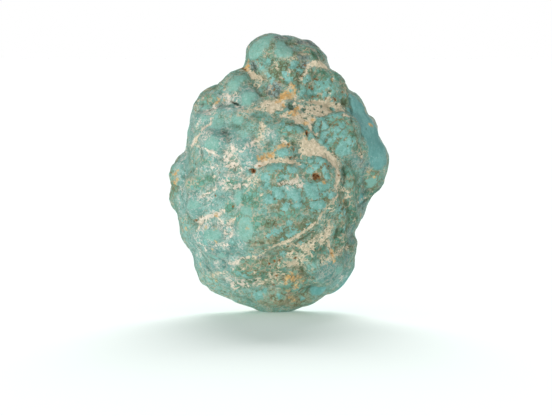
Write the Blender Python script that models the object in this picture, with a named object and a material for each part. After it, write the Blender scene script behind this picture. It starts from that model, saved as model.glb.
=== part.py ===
"""A raw turquoise nugget, standing on the worn flat at its lower end.

One solid in metres, +Z up. The origin is on the surface that it stands on, under the
middle of its bounding box. -Y is the front, the side with the long diagonal ledge.
The stone is built as it grew: a core, with rounded lumps crowded together over it.
The tables below are in millimetres.
"""

import math
import random

import bmesh
import bpy
from mathutils import Matrix, Vector
from mathutils.bvhtree import BVHTree

MM = 0.001

# Driving sizes of the stone.
HALF_DEPTH = 16.0
FOOT_RADIUS = 3.9
FOOT_CENTRE = (-0.6, 0.5)
FOOT_SPREAD = 8.5
FOOT_DEPTH = 9.0

# The inner masses: centre x, y, z, then the radii along x and z and the share of HALF_DEPTH.
CORES = {
    "body": (-1.5, 0.0, 24.5, 18.2, 22.5, 0.95),
    "left_flank": (-10.5, 0.0, 33.0, 8.0, 10.0, 0.72),
    "crown": (1.8, 0.0, 45.5, 6.6, 8.6, 0.52),
    "right_slab": (11.0, 1.5, 32.0, 9.0, 10.0, 0.62),
    "heel": (7.0, 0.5, 11.2, 6.6, 6.6, 0.70),
}

# Round lumps that make the outline seen from the front: centre x, y, z and radius.
# A large one is flatter than a ball: it reaches no further than RIM_MOST_DEPTH to front or back.
RIM_MOST_DEPTH = 8.5
RIM = {
    "crown_left": (-1.5, -1.0, 50.9, 4.85),
    "crown_top": (2.2, 0.8, 51.2, 4.2),
    "crown_right": (3.4, 1.5, 48.1, 6.7),
    "crown_side": (5.1, -0.5, 48.6, 4.9),
    "shoulder": (9.4, 0.5, 43.6, 4.8),
    "slab_top": (13.2, 2.5, 39.6, 4.8),
    "slab_face": (14.4, 1.0, 35.4, 5.2),
    "slab_knob": (16.0, 4.0, 36.4, 3.5),
    "slab_middle": (16.2, 1.5, 30.0, 6.0),
    "slab_elbow": (17.9, 2.0, 27.2, 3.8),
    "elbow_low": (14.6, 2.5, 24.2, 4.2),
    "right_waist": (10.5, 2.0, 22.5, 7.2),
    "right_hip": (8.9, -1.0, 19.2, 7.5),
    "heel_knob": (11.9, -1.0, 13.4, 4.3),
    "heel_round": (8.4, 0.5, 10.7, 6.9),
    "base_right": (0.6, 0.5, 13.4, 13.1),
    "base_left": (-2.3, -0.5, 14.3, 13.9),
    "low_left": (-6.0, 0.5, 13.6, 11.5),
    "low_left_side": (-7.4, 1.0, 12.3, 9.1),
    "left_belly": (-10.4, -0.5, 18.4, 9.9),
    "left_bulge": (-16.5, 1.0, 23.3, 5.3),
    "left_knob": (-18.4, -0.5, 26.9, 3.4),
    "left_slope": (-15.0, 1.5, 28.7, 5.4),
    "left_ear": (-10.8, -0.5, 36.9, 7.1),
    "left_shoulder": (-10.0, 1.0, 38.8, 7.2),
    "left_brow": (-7.0, -0.5, 42.8, 5.6),
    "left_neck": (-3.3, -0.5, 48.6, 3.7),
}

# Domes on the front: x, z, length, breadth, how far each stands out of the core,
# and the turn of its length from the x axis in degrees.
FRONT = {
    "centre_dome": (3.2, 21.8, 19.0, 12.6, 2.2, 36),
    "centre_brow": (1.2, 28.2, 10.5, 4.6, 1.7, 4),
    "centre_cheek": (8.2, 28.6, 6.2, 5.6, 1.8, 20),
    "upper_dome": (1.2, 36.2, 9.0, 5.4, 1.7, -4),
    "upper_button": (1.2, 32.2, 4.6, 2.6, 1.4, 8),
    "left_button": (-5.5, 30.9, 4.0, 4.0, 1.1, 70),
    "right_dome": (11.6, 35.3, 10.2, 9.2, 2.2, 70),
    "brow_dome": (7.8, 45.6, 8.2, 6.8, 1.6, 10),
    "brow_side": (11.6, 45.2, 3.4, 3.0, 0.5, 60),
    "crown_pale": (-3.4, 52.9, 5.6, 4.6, 0.7, 50),
    "crown_bun": (0.8, 51.8, 5.0, 4.4, 0.7, 0),
    "crown_cheek": (5.4, 50.8, 5.4, 3.8, 0.7, -28),
    "crown_chin": (-0.8, 44.8, 4.8, 3.4, 0.6, -20),
    "crown_nut": (-3.2, 48.2, 3.8, 3.2, 0.8, 30),
    "crown_pip": (2.4, 47.4, 3.6, 3.2, 0.8, 0),
    "left_cap": (-8.0, 46.0, 5.0, 4.2, 1.0, 30),
    "left_cap_low": (-5.6, 43.2, 4.4, 4.4, 1.1, -30),
    "left_temple": (-13.6, 42.6, 5.6, 4.4, 1.0, 50),
    "left_field": (-9.6, 39.4, 7.0, 4.4, 1.4, -12),
    "middle_field": (-4.8, 37.4, 5.6, 4.4, 1.4, 30),
    "left_drop": (-12.8, 34.2, 6.4, 5.4, 1.7, -30),
    "left_rim_drop": (-15.6, 38.4, 4.4, 4.4, 1.0, 60),
    "middle_drop": (-7.2, 33.4, 5.4, 4.4, 1.3, 15),
    "left_upper_field": (-14.0, 29.8, 6.6, 4.2, 1.3, 20),
    "left_long_dome": (-16.6, 26.2, 7.6, 4.2, 1.5, 6),
    "left_pearl": (-16.2, 21.6, 6.4, 5.4, 1.6, 35),
    "left_inner": (-10.0, 26.4, 6.4, 4.6, 1.3, 24),
    "low_left_dome": (-13.2, 14.6, 9.6, 6.8, 1.5, 0),
    "low_left_lower": (-12.2, 9.4, 7.0, 4.2, 1.2, -20),
    "middle_column": (-5.8, 18.2, 10.6, 6.0, 1.8, 78),
    "column_foot": (-4.6, 13.0, 6.0, 5.0, 1.0, 20),
    "diagonal_toe": (5.6, 13.2, 8.0, 3.8, 0.8, 32),
    "low_band": (-4.4, 9.2, 10.0, 4.6, 0.8, 24),
    "orange_dome": (3.2, 5.8, 6.6, 5.8, 1.2, 40),
    "base_left_dome": (-7.6, 4.8, 8.0, 4.4, 0.8, -18),
    "base_middle": (-1.4, 3.2, 6.0, 4.2, 0.6, 0),
    "heel_dome": (11.0, 8.6, 7.4, 6.4, 1.2, 40),
    "heel_button": (12.4, 14.6, 4.8, 4.6, 1.2, 60),
    "heel_inner": (7.6, 10.4, 4.8, 4.2, 0.8, 10),
    "heel_blue": (8.0, 4.6, 4.4, 3.0, 0.6, 25),
    "right_button": (14.4, 26.4, 6.0, 5.0, 1.1, 75),
    "right_low_button": (14.8, 22.2, 4.4, 3.6, 0.8, 50),
    "right_groin": (12.8, 19.2, 4.6, 3.8, 0.8, 55),
}

# Rust-lined pits and the open crack on the front: x, z, length, breadth, depth, turn.
PITS = {
    "big_rust": (7.7, 27.2, 1.5, 1.3, 0.9, 0),
    "left_rust": (-5.2, 28.6, 1.1, 0.8, 0.7, 20),
    "upper_rust": (5.9, 35.7, 0.9, 0.8, 0.7, 0),
    "crack": (-8.3, 41.7, 2.2, 0.6, 0.8, -24),
    "foot_crease": (10.7, 12.0, 2.4, 0.7, 0.7, -60),
}

# The back carries the same sort of domes, strewn on a spiral over all directions.
BACK_DOMES = 170
BACK_LENGTH = (6.0, 11.0)
BACK_BREADTH_SHARE = (0.60, 0.95)
BACK_PROUD = (0.8, 2.1)
BACK_LEAST_FACING = -0.15
BACK_LEAST_LENGTH = 3.0
SHRINK_STEP = 0.85
OUTLINE_CHECKS = 12
BACK_SEED = 41
MIDDLE_HEIGHT = 27.0

# Surface finish of the solid.
BLEND_VOXEL = 0.62
LUMP_DEPTH_SHARE = 0.42
BROAD_SWELL = (7.0, 0.9)
SMALL_SWELL = (2.8, 0.5)
SMOOTHING_PASSES = 3
KEPT_FACES_SHARE = 0.20
FAR = 60.0

TURQUOISE = (0.20, 0.42, 0.37, 1.0)
STONE_ROUGHNESS = 0.62


def point(x, y, z):
    """A place given in millimetres, as a vector in metres."""
    return Vector((x, y, z)) * MM


def add_ellipsoid(bm, centre, radii, turn=None, finish=3):
    """Adds one closed ellipsoid; centre and radii are in metres, turn is a rotation matrix."""
    placing = Matrix.Translation(centre) @ (turn or Matrix.Identity(4)) @ Matrix.Diagonal((*radii, 1.0))
    bmesh.ops.create_icosphere(bm, subdivisions=finish, radius=1.0, matrix=placing)


def facing_frame(normal, turn_degrees):
    """Rotation that lays local z along the normal and local x along the turned x axis."""
    turned = Vector((math.cos(math.radians(turn_degrees)), 0.0, math.sin(math.radians(turn_degrees))))
    along = (turned - normal * turned.dot(normal)).normalized()
    across = normal.cross(along)
    return Matrix((along, across, normal)).transposed().to_4x4()


def add_cores(bm):
    for x, y, z, radius_x, radius_z, depth_share in CORES.values():
        radii = point(radius_x, HALF_DEPTH * depth_share, radius_z)
        add_ellipsoid(bm, point(x, y, z), radii, finish=4)


def add_rim(bm):
    for x, y, z, radius in RIM.values():
        radii = point(radius, min(radius, RIM_MOST_DEPTH), radius)
        add_ellipsoid(bm, point(x, y, z), radii, finish=4)


def add_foot(bm):
    """The bulge that the floor cuts to a flat of FOOT_RADIUS."""
    sink = FOOT_DEPTH * (1.0 - math.sqrt(1.0 - (FOOT_RADIUS / FOOT_SPREAD) ** 2))
    centre = point(FOOT_CENTRE[0], FOOT_CENTRE[1], FOOT_DEPTH - sink)
    add_ellipsoid(bm, centre, point(FOOT_SPREAD, FOOT_SPREAD, FOOT_DEPTH), finish=4)


def front_surface(tree, x, z):
    """Where a straight line from the front first meets the surface, and the normal there."""
    place, normal, _, _ = tree.ray_cast(point(x, -FAR, z), Vector((0.0, 1.0, 0.0)))
    return place, normal


def add_dome(bm, place, normal, length, breadth, proud, turn):
    """Adds a dome that stands proud of the surface at that place."""
    depth = LUMP_DEPTH_SHARE * (length + breadth) / 2
    # The dome's outline on the surface is narrower than the ellipsoid that makes it.
    widening = 1.0 / math.sqrt(1.0 - ((depth - proud) / depth) ** 2)
    radii = point(length / 2 * widening, breadth / 2 * widening, depth)
    add_ellipsoid(bm, place - normal * (depth - proud) * MM, radii, facing_frame(normal, turn))


def keeps_outline(tree, place, normal, length, breadth, proud, turn):
    """Whether a dome, seen from the front, stays within the outline that the rim makes."""
    frame = facing_frame(normal, turn)
    for check in range(OUTLINE_CHECKS):
        angle = math.tau * check / OUTLINE_CHECKS
        edge = point(length / 2 * math.cos(angle), breadth / 2 * math.sin(angle), proud)
        seen = (place + frame @ edge) / MM
        if front_surface(tree, seen.x, seen.z)[0] is None:
            return False
    return True


def add_front_domes(bm, tree):
    for x, z, length, breadth, proud, turn in FRONT.values():
        place, normal = front_surface(tree, x, z)
        add_dome(bm, place, normal, length, breadth, proud, turn)


def add_back_domes(bm, tree):
    chance = random.Random(BACK_SEED)
    middle = point(0.0, 0.0, MIDDLE_HEIGHT)
    golden_turn = math.pi * (3.0 - math.sqrt(5.0))
    for index in range(BACK_DOMES):
        rise = 1.0 - 2.0 * (index + 0.5) / BACK_DOMES
        around = math.sqrt(1.0 - rise * rise)
        direction = Vector((around * math.cos(index * golden_turn), around * math.sin(index * golden_turn), rise))
        place, normal, _, _ = tree.ray_cast(middle + direction * FAR * MM, -direction)
        length = chance.uniform(*BACK_LENGTH)
        breadth = length * chance.uniform(*BACK_BREADTH_SHARE)
        proud = chance.uniform(*BACK_PROUD)
        turn = chance.uniform(0.0, 180.0)
        if normal.y < BACK_LEAST_FACING:
            continue
        # A dome shrinks towards the outline, which belongs to the rim's own lumps.
        while length > BACK_LEAST_LENGTH:
            if keeps_outline(tree, place, normal, length, breadth, proud, turn):
                add_dome(bm, place, normal, length, breadth, proud, turn)
                break
            length *= SHRINK_STEP
            breadth *= SHRINK_STEP
            proud *= SHRINK_STEP


def new_object(name, bm):
    mesh = bpy.data.meshes.new(name)
    bm.to_mesh(mesh)
    obj = bpy.data.objects.new(name, mesh)
    bpy.context.scene.collection.objects.link(obj)
    return obj


def swell(nugget, name, size_and_height):
    """Uneven growth: pushes the skin in and out by a cloud pattern of the given size."""
    size, height = size_and_height
    pattern = bpy.data.textures.new(name, "CLOUDS")
    pattern.noise_scale = size * MM
    modifier = nugget.modifiers.new(name, "DISPLACE")
    modifier.texture = pattern
    modifier.texture_coords = "LOCAL"
    modifier.strength = height * MM
    modifier.mid_level = 0.5


def fuse_lumps(nugget):
    """Grows the crowded lumps into one uneven skin."""
    fuse = nugget.modifiers.new("fuse", "REMESH")
    fuse.mode = "VOXEL"
    fuse.voxel_size = BLEND_VOXEL * MM
    swell(nugget, "broad_swell", BROAD_SWELL)
    swell(nugget, "small_swell", SMALL_SWELL)
    soften = nugget.modifiers.new("soften", "SMOOTH")
    soften.factor = 0.5
    soften.iterations = SMOOTHING_PASSES


def thin_out(nugget):
    """Drops the faces that the shape can do without."""
    thin = nugget.modifiers.new("thin", "DECIMATE")
    thin.ratio = KEPT_FACES_SHARE


def cut_with(nugget, cutter):
    cutter.hide_render = True
    cutter.display_type = "WIRE"
    cut = nugget.modifiers.new(cutter.name, "BOOLEAN")
    cut.operation = "DIFFERENCE"
    cut.object = cutter


def floor_cutter():
    """A block whose top is the surface that the stone stands on."""
    bm = bmesh.new()
    block = Matrix.Translation(point(0, 0, -FAR / 2)) @ Matrix.Diagonal((FAR * MM, FAR * MM, FAR * MM, 1.0))
    bmesh.ops.create_cube(bm, size=1.0, matrix=block)
    return new_object("floor_cutter", bm)


def pit_cutter(skin):
    bm = bmesh.new()
    for x, z, length, breadth, depth, turn in PITS.values():
        place, normal = front_surface(skin, x, z)
        radii = point(length / 2, breadth / 2, depth)
        add_ellipsoid(bm, place, radii, facing_frame(normal, turn), finish=2)
    return new_object("pit_cutter", bm)


def turquoise():
    material = bpy.data.materials.new("turquoise")
    material.use_nodes = True
    shader = material.node_tree.nodes["Principled BSDF"]
    shader.inputs["Base Color"].default_value = TURQUOISE
    shader.inputs["Roughness"].default_value = STONE_ROUGHNESS
    shader.inputs["Metallic"].default_value = 0.0
    return material


def build_nugget():
    bm = bmesh.new()
    add_cores(bm)
    add_rim(bm)
    add_foot(bm)
    bare = BVHTree.FromBMesh(bm)
    add_front_domes(bm, bare)
    add_back_domes(bm, bare)
    skin = BVHTree.FromBMesh(bm)
    nugget = new_object("turquoise_nugget", bm)
    nugget.data.materials.append(turquoise())
    nugget.data.shade_smooth()
    fuse_lumps(nugget)
    cut_with(nugget, pit_cutter(skin))
    thin_out(nugget)
    cut_with(nugget, floor_cutter())


def main():
    for obj in list(bpy.data.objects):
        bpy.data.objects.remove(obj)
    build_nugget()


main()
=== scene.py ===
"""Raw turquoise nugget: its relief, its colours, the floor, the light and the camera.

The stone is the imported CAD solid, made fine enough to carry its small relief. Veins, islands, stains and
pits are laid on it from the tables below. A table gives places as the camera sees them, in mm on the upright
plane through the origin: x to the right and z up. Each place is carried along the line of sight to the stone.
"""
import math

import bpy
import numpy as np
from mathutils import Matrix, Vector
from mathutils.bvhtree import BVHTree


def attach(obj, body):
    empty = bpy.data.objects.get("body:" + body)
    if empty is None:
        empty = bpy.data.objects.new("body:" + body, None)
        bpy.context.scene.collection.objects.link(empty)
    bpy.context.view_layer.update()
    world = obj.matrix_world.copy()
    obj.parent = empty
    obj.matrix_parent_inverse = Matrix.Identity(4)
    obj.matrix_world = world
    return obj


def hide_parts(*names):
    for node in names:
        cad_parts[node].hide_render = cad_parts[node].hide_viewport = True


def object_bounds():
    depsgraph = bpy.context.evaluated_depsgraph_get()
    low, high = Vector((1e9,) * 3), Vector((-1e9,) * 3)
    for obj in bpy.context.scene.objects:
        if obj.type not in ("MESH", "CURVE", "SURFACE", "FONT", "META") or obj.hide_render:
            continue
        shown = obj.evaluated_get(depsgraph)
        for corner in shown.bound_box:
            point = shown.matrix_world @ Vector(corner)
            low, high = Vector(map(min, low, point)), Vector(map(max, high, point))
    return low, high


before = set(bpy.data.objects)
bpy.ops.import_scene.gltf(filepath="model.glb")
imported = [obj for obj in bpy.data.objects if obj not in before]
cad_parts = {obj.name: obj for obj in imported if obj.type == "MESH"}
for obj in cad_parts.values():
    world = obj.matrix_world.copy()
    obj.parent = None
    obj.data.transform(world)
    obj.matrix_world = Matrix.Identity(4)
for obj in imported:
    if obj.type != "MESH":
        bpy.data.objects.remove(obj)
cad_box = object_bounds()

MM = 0.001
CAD_NODE = "turquoise_nugget"

# Camera, in mm and degrees: the picture's middle lies on TARGET, and its width spans PICTURE_WIDTH there
TARGET = (-0.4, 0.0, 20.7)
ELEVATION = 3.0
DISTANCE = 750.0
PICTURE_WIDTH = 110.4
SENSOR = 36.0

# Light from all round. It fades from one level to the other over this band of heights (0 level, 1 overhead)
HORIZON_LEVEL = 1.0
OVERHEAD_LEVEL = 0.40
HORIZON_BAND = (0.10, 0.55)
# Suns: where the light heads, its strength, its spread in degrees, what it falls on and what casts its shadow
SUNS = {
    "key": dict(towards=(0.6, 0.8, -0.8), strength=0.85, spread=40, lit="stone", shaded_by="stone"),
    "front_fill": dict(towards=(0.2, 1, -0.1), strength=1.44, spread=20, lit="stone", shaded_by="stone"),
    "left_fill": dict(towards=(1, 0.45, -0.06), strength=0.6, spread=30, lit="stone", shaded_by="stone"),
    "rear_fill": dict(towards=(-0.35, -1, -0.25), strength=1.6, spread=40, lit="stone", shaded_by="stone"),
    "under_fill": dict(towards=(0, 0.25, 0.95), strength=0.85, spread=60, lit="stone", shaded_by="stone"),
    "shadow_light": dict(towards=(-0.02, -1, -0.39), strength=5.9, spread=34, lit="floor", shaded_by="stone",
                         colour=(1, 0.88, 0.94)),
    "floor_fill": dict(towards=(0, 0, -1), strength=0.62, spread=0, lit="floor", shaded_by="floor"),
}
FLOOR_WIDTH = 8.0
FLOOR_COLOUR = (0.76, 0.87, 0.82)

# Mesh: its edge length and its weld reach in mm, and how many rounds soften it, or find the hollows and valleys
# that the material darkens as painted shade
VOXEL = 0.30
WELD_REACH = 0.001
SOFTENING_ROUNDS = 7
HOLLOW_ROUNDS = 6
VALLEY_ROUNDS = 60

# Foot: the heights in mm over which the relief comes in, the drawing-in of the rim fades and the softening
# fades, and the height in mm under which a vertex lies on the floor. Then the share by which the rim is drawn
# in, and the rounds and the strength of the softening.
RELIEF_BAND = (0.15, 0.6)
RIM_BAND = (0.0, 1.2)
SOFT_BAND = (1.0, 3.0)
ON_FLOOR = 0.1
RIM_PULL = 0.10
FOOT_ROUNDS = 14
FOOT_SHARE = 0.6

# Laying features, in mm: the largest distance kept, and the steps along a line and over hidden ground. A
# hidden line also turns at each step, and WANDER_WIDTHS are shares of its width. Ground is hidden if it faces
# away from the camera by more than HIDDEN_LEAST. BATCH vertices are measured at a time.
FAR = 3.0
TRACE_STEP = 0.35
WANDER_STEP = 0.8
WANDER_TURN = 0.4
WANDER_WIDTHS = (0.45, 1.2)
HIDDEN_LEAST = 0.12
BATCH = 20000
FEATURE_SEED = 41

# Random numbers: what a cell's whole numbers and the seed are multiplied by, and the word they are mixed in
CELL_PRIMES = (73856093, 19349663, 83492791)
SEED_PRIME = 2654435761
MIX_PRIME = np.uint64(0x45D9F3B)
WORD = np.uint64(0xFFFFFFFF)
HALF_WORD = np.uint64(16)
# Each finer layer of noise: its strength beside the one before, its shift in mm and its step in seeds
LAYER_SHARE = 0.55
LAYER_SHIFT = 7.3
LAYER_SEEDS = 31

# Relief all over: its height in mm from lowest to highest, and the share of it that smooth lobes lose
RELIEF = {"nodules": (0.30, 0.85), "waves": (0.30, 0.70), "grains": (0.16, 0.85), "cells": (0.13, 0.85)}
CREAM_SMOOTHNESS = 0.8
PLAIN_CELLS = 0.45
# Relief at the features: its height in mm (below 0 it sinks), and how far inside the feature's edge it starts
# and is whole, in mm (below 0 is outside)
STEPS = {
    "brown": (-0.08, -0.2, 0.05), "dark": (-0.08, -0.15, 0.1), "rust": (-0.18, -0.2, 0.1),
    "pits": (-0.3, -0.2, 0.35), "crack": (-0.6, -0.15, 0.05), "creases": (-0.26, -0.5, 0.1),
    "islands": (0.16, -0.12, 0.25), "cream": (-0.09, -0.25, 0.3),
}
# Features whose relief has an uneven edge: how uneven and how coarse it is in mm, and its seed
RAGGED = {"islands": (0.5, 0.9, 53), "cream": (0.7, 1.0, 54)}

# Material: the light that falls on the stone, the turn of its patterns so that they don't line up with the
# view, where in the noise's fourth dimension each pattern lies, the size of its small cells in mm, how far
# noise bends them as a share of their size, and how the slab's streaks are drawn out
LIGHT_LEVEL = 1.23
PATTERN_TURN = (0.6, 0.4, 0.9)
PATTERN_START = 0.37
PATTERN_STEP = 3.618
NOISE_ROUGHNESS = 0.62
PEBBLE = 0.95
CHALK_CELL = 1.25
CELL_BEND = 0.45
STREAKS = (1.0, 1.0, 0.45)
# Areas of mixed ground: its base, pale and dark screen colours, how much of it shows, and how soft, how uneven
# and how coarse its edge is in mm
AREAS = {
    "green": ((92, 146, 124), (112, 168, 154), (80, 116, 88), 0.85, 0.7, 2.4, 1.2),
    "olive": ((106, 126, 98), (118, 150, 128), (88, 90, 62), 0.95, 0.6, 2.4, 1.0),
    "tan": ((158, 152, 122), (142, 168, 146), (110, 104, 72), 0.55, 0.6, 2.8, 1.0),
    "grey": ((108, 126, 122), (140, 160, 158), (76, 90, 84), 0.90, 0.4, 1.8, 0.9),
    "deep": ((72, 116, 96), (94, 142, 124), (60, 90, 66), 0.85, 0.6, 2.2, 1.0),
}


def dots(width, *places):
    """Round spots of one width, at (x, z)."""
    return [[(x, z, width / 2)] for x, z in places]


def ovals(*rows):
    """Spots of (x, z, width, height), each made of two rounds side by side."""
    spots = []
    for x, z, width, height in rows:
        radius = min(width, height) / 2
        along = width / 2 - radius
        up = height / 2 - radius
        spots.append([(x - along, z - up, radius), (x + along, z + up, radius)])
    return spots


def paths(*rows):
    """Lines through places (x, z, width)."""
    return [[(x, z, width / 2) for x, z, width in row] for row in rows]


def lines(width, *rows):
    """Lines of one width through places (x, z)."""
    return [[(x, z, width / 2) for x, z in row] for row in rows]


# Smooth pale lobes and domes
PALE = [
    *ovals((1.3, 52.2, 3.6, 3.2), (0.9, 53.6, 1.6, 1.2), (-7.5, 46.6, 2.6, 1.4), (-5.8, 43.3, 3.4, 2.2),
        (-6.2, 41.9, 2, 1.2), (-13.3, 33.6, 3.2, 3), (-6.6, 16.3, 3.6, 5), (-13.5, 15.3, 3.8, 2.2),
        (-12.6, 40, 2.4, 1.6), (-14.6, 40.6, 2, 1.4), (-18.4, 33.4, 1.4, 2.4), (-7, 35.4, 2, 1.6),
        (-17.2, 21.4, 3, 2), (-8, 22.8, 1.4, 3.2), (-6.4, 20.4, 2.4, 1.8), (14.5, 25.5, 1.8, 1.4),
        (12.3, 8.2, 2.2, 1.8), (-17.9, 36.2, 1.6, 2.6), (-12.4, 37.6, 3.4, 2.2), (-8, 38.4, 2.4, 1.8),
        (-8.8, 45.3, 2.4, 2.4), (-11.2, 11, 1.8, 1.8), (-13.3, 11, 1.4, 1.4)),
    *paths([(-5.4, 51.5, 2.8), (-4.5, 52.5, 3.4), (-3.4, 53.6, 3), (-2.4, 54.8, 2.2), (-1.2, 55.4, 1.4)],
        [(-14.6, 38.9, 1.6), (-12.8, 38.7, 1.4)]),
]

# The smooth slab on the right, and deeper blue patches
SLAB = paths([(17.6, 39, 3), (19.2, 35, 3.6), (20.4, 32.6, 3.6), (20.8, 30.6, 3.4), (19.8, 29.2, 1.6)],
    [(14.9, 42.6, 2.4), (16.2, 40.6, 3.4), (17, 38, 3.8), (18.2, 35, 3.4), (19.2, 32.6, 4),
     (19.9, 30.8, 4)], [(14.4, 40.4, 1.4), (15.9, 38.2, 1.4), (17, 35.8, 1.4)])
BLUE = ovals((7.9, 4.6, 3.4, 2.8), (13.3, 4.2, 2, 3), (16.6, 22.4, 2.2, 2.4), (-17.4, 40, 1, 2))

# Darker green domes, rough olive ground, blue-grey ground, and milky ground
GREEN = ovals((-17, 25.7, 5.6, 2.6), (2, 36.4, 4.4, 3.4), (-5, 7, 8.6, 5.4), (12.8, 14.8, 3.2, 3.6),
    (15.2, 27, 3.8, 3.4), (15.6, 23.8, 3.4, 3), (-14.4, 42.8, 2.6, 1.8), (0.5, 9.5, 4, 3.4),
    (6.5, 52.2, 3.4, 2.6), (8.4, 12, 3.4, 3), (11.6, 37.2, 3, 5), (-9.4, 26, 3, 2), (-4.4, 38.6, 2.6, 1.6),
    (2, 19, 5, 2.4), (-13.5, 26.5, 3, 1.6), (12.9, 46, 1.2, 1.6), (4.6, 3.4, 3, 3.6), (14.6, 36.2, 1.6, 3),
    (1.4, 27.4, 5, 3), (-5.6, 22.5, 4.6, 4.6), (-4.4, 17.6, 3.4, 3.4), (8.3, 47.2, 4.4, 2.8),
    (-7.6, 18.6, 3, 3), (12.2, 47, 2.6, 2.4), (-15, 30.2, 3.4, 1.4), (-9.6, 20.8, 2.4, 2.4))
OLIVE = [
    *ovals((13.4, 44, 3, 5.4), (3.6, 53.6, 4.6, 1.4), (13.2, 19.6, 3.6, 6), (5.4, 51.6, 8, 1.6),
        (2.6, 50.6, 4, 1.2), (6.4, 52, 3.6, 2.4), (8.4, 50.6, 3, 1.2), (14.6, 18.6, 3, 6), (14.6, 13, 2, 4),
        (0.8, 50.4, 5, 1), (-1.6, 51.4, 1.6, 1.4), (19.4, 24.6, 2.6, 3), (4, 8, 3, 4), (-1, 43.6, 5, 3.4),
        (2.4, 47.8, 10, 5), (13.2, 42.4, 2.2, 3), (13.2, 45, 2.4, 1.8), (2, 2.2, 7.6, 3.6),
        (-1.6, 14, 3.4, 1.6), (3.6, 14.6, 4, 1.6), (11.8, 13.4, 1.4, 3.6), (-13.3, 44.6, 3, 1.4),
        (6, 45, 2.4, 3.4), (0.8, 6.6, 5, 3.2), (2, 37.6, 3, 1.4), (9.4, 27.6, 3.6, 3),
        (12.6, 19.4, 1.8, 4.6), (3.8, 33.8, 2.4, 1.2), (4.4, 17.2, 5.6, 1.2), (-4.6, 9.2, 5, 2.6),
        (8.2, 14.6, 3.6, 3), (0.6, 17.2, 7, 3), (7.6, 20.2, 4, 1.8), (12.6, 23.8, 2.2, 2.6),
        (5.8, 13.8, 4, 3.6), (-4.6, 13.6, 3, 1.4), (-0.4, 15, 6, 2.4), (6.4, 17.6, 4, 2.2),
        (3, 11.6, 6, 2.2), (-1.2, 10.4, 4, 1.8), (8.4, 44.6, 4.6, 4)),
    *paths([(-1.9, 50.6, 1.6), (-1.9, 51.8, 1.2), (-1.2, 53.2, 0.8), (-0.8, 53.8, 0.6)],
        [(14.8, 38.2, 0.4), (15.4, 36.4, 0.6), (15.6, 35, 0.9), (16, 33.2, 1), (17, 31.3, 1.2)]),
]
GREY = ovals((6, 53.9, 5, 1.6), (0.8, 54.9, 3.4, 1), (-0.9, 44.5, 3.6, 3), (-4.9, 48.9, 1.9, 2.6),
    (-10.6, 35.8, 1.6, 0.8), (2.5, 41.4, 1.7, 2.3), (2.9, 40.5, 1.3, 1.1), (5, 40.5, 1.3, 1.7),
    (6.4, 49.4, 3.6, 1.4), (16.6, 30.2, 1.8, 2.6), (18.8, 37.6, 1.6, 2.8), (19, 26.6, 3.4, 4),
    (9.6, 16.6, 1.4, 1.2), (-3.6, 10.9, 2, 0.8), (5, 50.8, 2.4, 1), (-12, 41, 1.6, 1.2))
MILKY = ovals((-13, 33, 10, 12), (-15, 22, 10, 10), (-12, 13, 12, 12), (-7, 31, 7, 9), (-15, 39, 5, 5),
    (-6, 43.8, 6, 4.6), (3, 24, 9, 5), (12, 6.6, 6, 5), (18.6, 29, 4, 4), (-8, 6, 8, 4), (-1, 35, 4, 3),
    (-11, 41.5, 10, 6), (-19, 27, 4, 16), (-17.5, 37, 3, 8), (-16.5, 12, 5, 8), (-10, 24, 9, 8),
    (0.5, 55.2, 5, 1.4))

# Deep, dark green
DEEP = [
    *ovals((7.8, 51.6, 4, 2.8), (12.9, 14.9, 3.4, 4), (13.4, 27.2, 1.6, 3.6), (12.9, 24.6, 1.4, 2),
        (14.4, 20.8, 3.4, 3), (6.8, 14.2, 2.6, 2), (4.4, 12.6, 3, 1.4), (2, 11.4, 2.4, 1),
        (12.6, 45.8, 1.6, 1.8), (-2, 5.4, 1.6, 1.2), (0.6, 38.2, 3.4, 1), (3.4, 35.6, 3, 1.2),
        (14.8, 19.6, 3, 4.6), (1, 34.6, 2, 0.8), (-4, 8, 8, 3), (0, 10.6, 3, 1.2), (19, 23.6, 4, 3),
        (7.8, 10.8, 3.4, 1.6)),
    *paths([(14.6, 38.4, 1), (14.6, 36, 1.2), (15, 33.8, 1.2), (15.8, 32.2, 1.4), (16.6, 31, 1.2)],
        [(14.4, 25.4, 0.8), (16.4, 25.2, 0.8)]),
]

# Dusky blue-green ground with pinkish threads
DUSK = ovals((18.6, 27.6, 5, 5.4), (17, 21.6, 3.6, 6), (19.4, 24.6, 4, 3.4), (14.8, 15.6, 2.4, 4.4),
    (10.4, 7.6, 6, 4.6), (15.6, 30.4, 2.4, 3.4), (13.6, 10.6, 3, 3), (19.8, 29.4, 3, 2.4),
    (-13.4, 12.8, 3.4, 2), (-11.6, 11.2, 4, 2.4), (-13.4, 8.4, 3, 1.6), (-10.6, 9.4, 2.6, 2.6),
    (-9.6, 13, 2.4, 1.6), (-14.2, 9.2, 2, 2.4), (-12, 16.6, 2.2, 1.6))

# Tan, sandy ground
TAN = ovals((1, 2.4, 12, 4.6), (3.6, 6, 3.6, 4), (-1, 12.4, 7, 1.8), (-5.2, 9.4, 6, 2), (3, 10, 3.6, 1.6),
    (12.6, 22.8, 2.4, 2.4), (9.4, 17, 1.6, 3), (8, 40.6, 5, 3), (-0.8, 41.4, 5, 2.6), (7, 32.6, 5, 2.6),
    (-4, 5.6, 8, 1.6), (5, 39.4, 3, 2.4), (11.8, 27, 1.4, 4.6), (0.6, 25.8, 4, 1.2), (-3.4, 47.2, 4, 2),
    (6.4, 49.4, 4, 1.2), (-3.4, 14.2, 5, 1.6))

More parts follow.
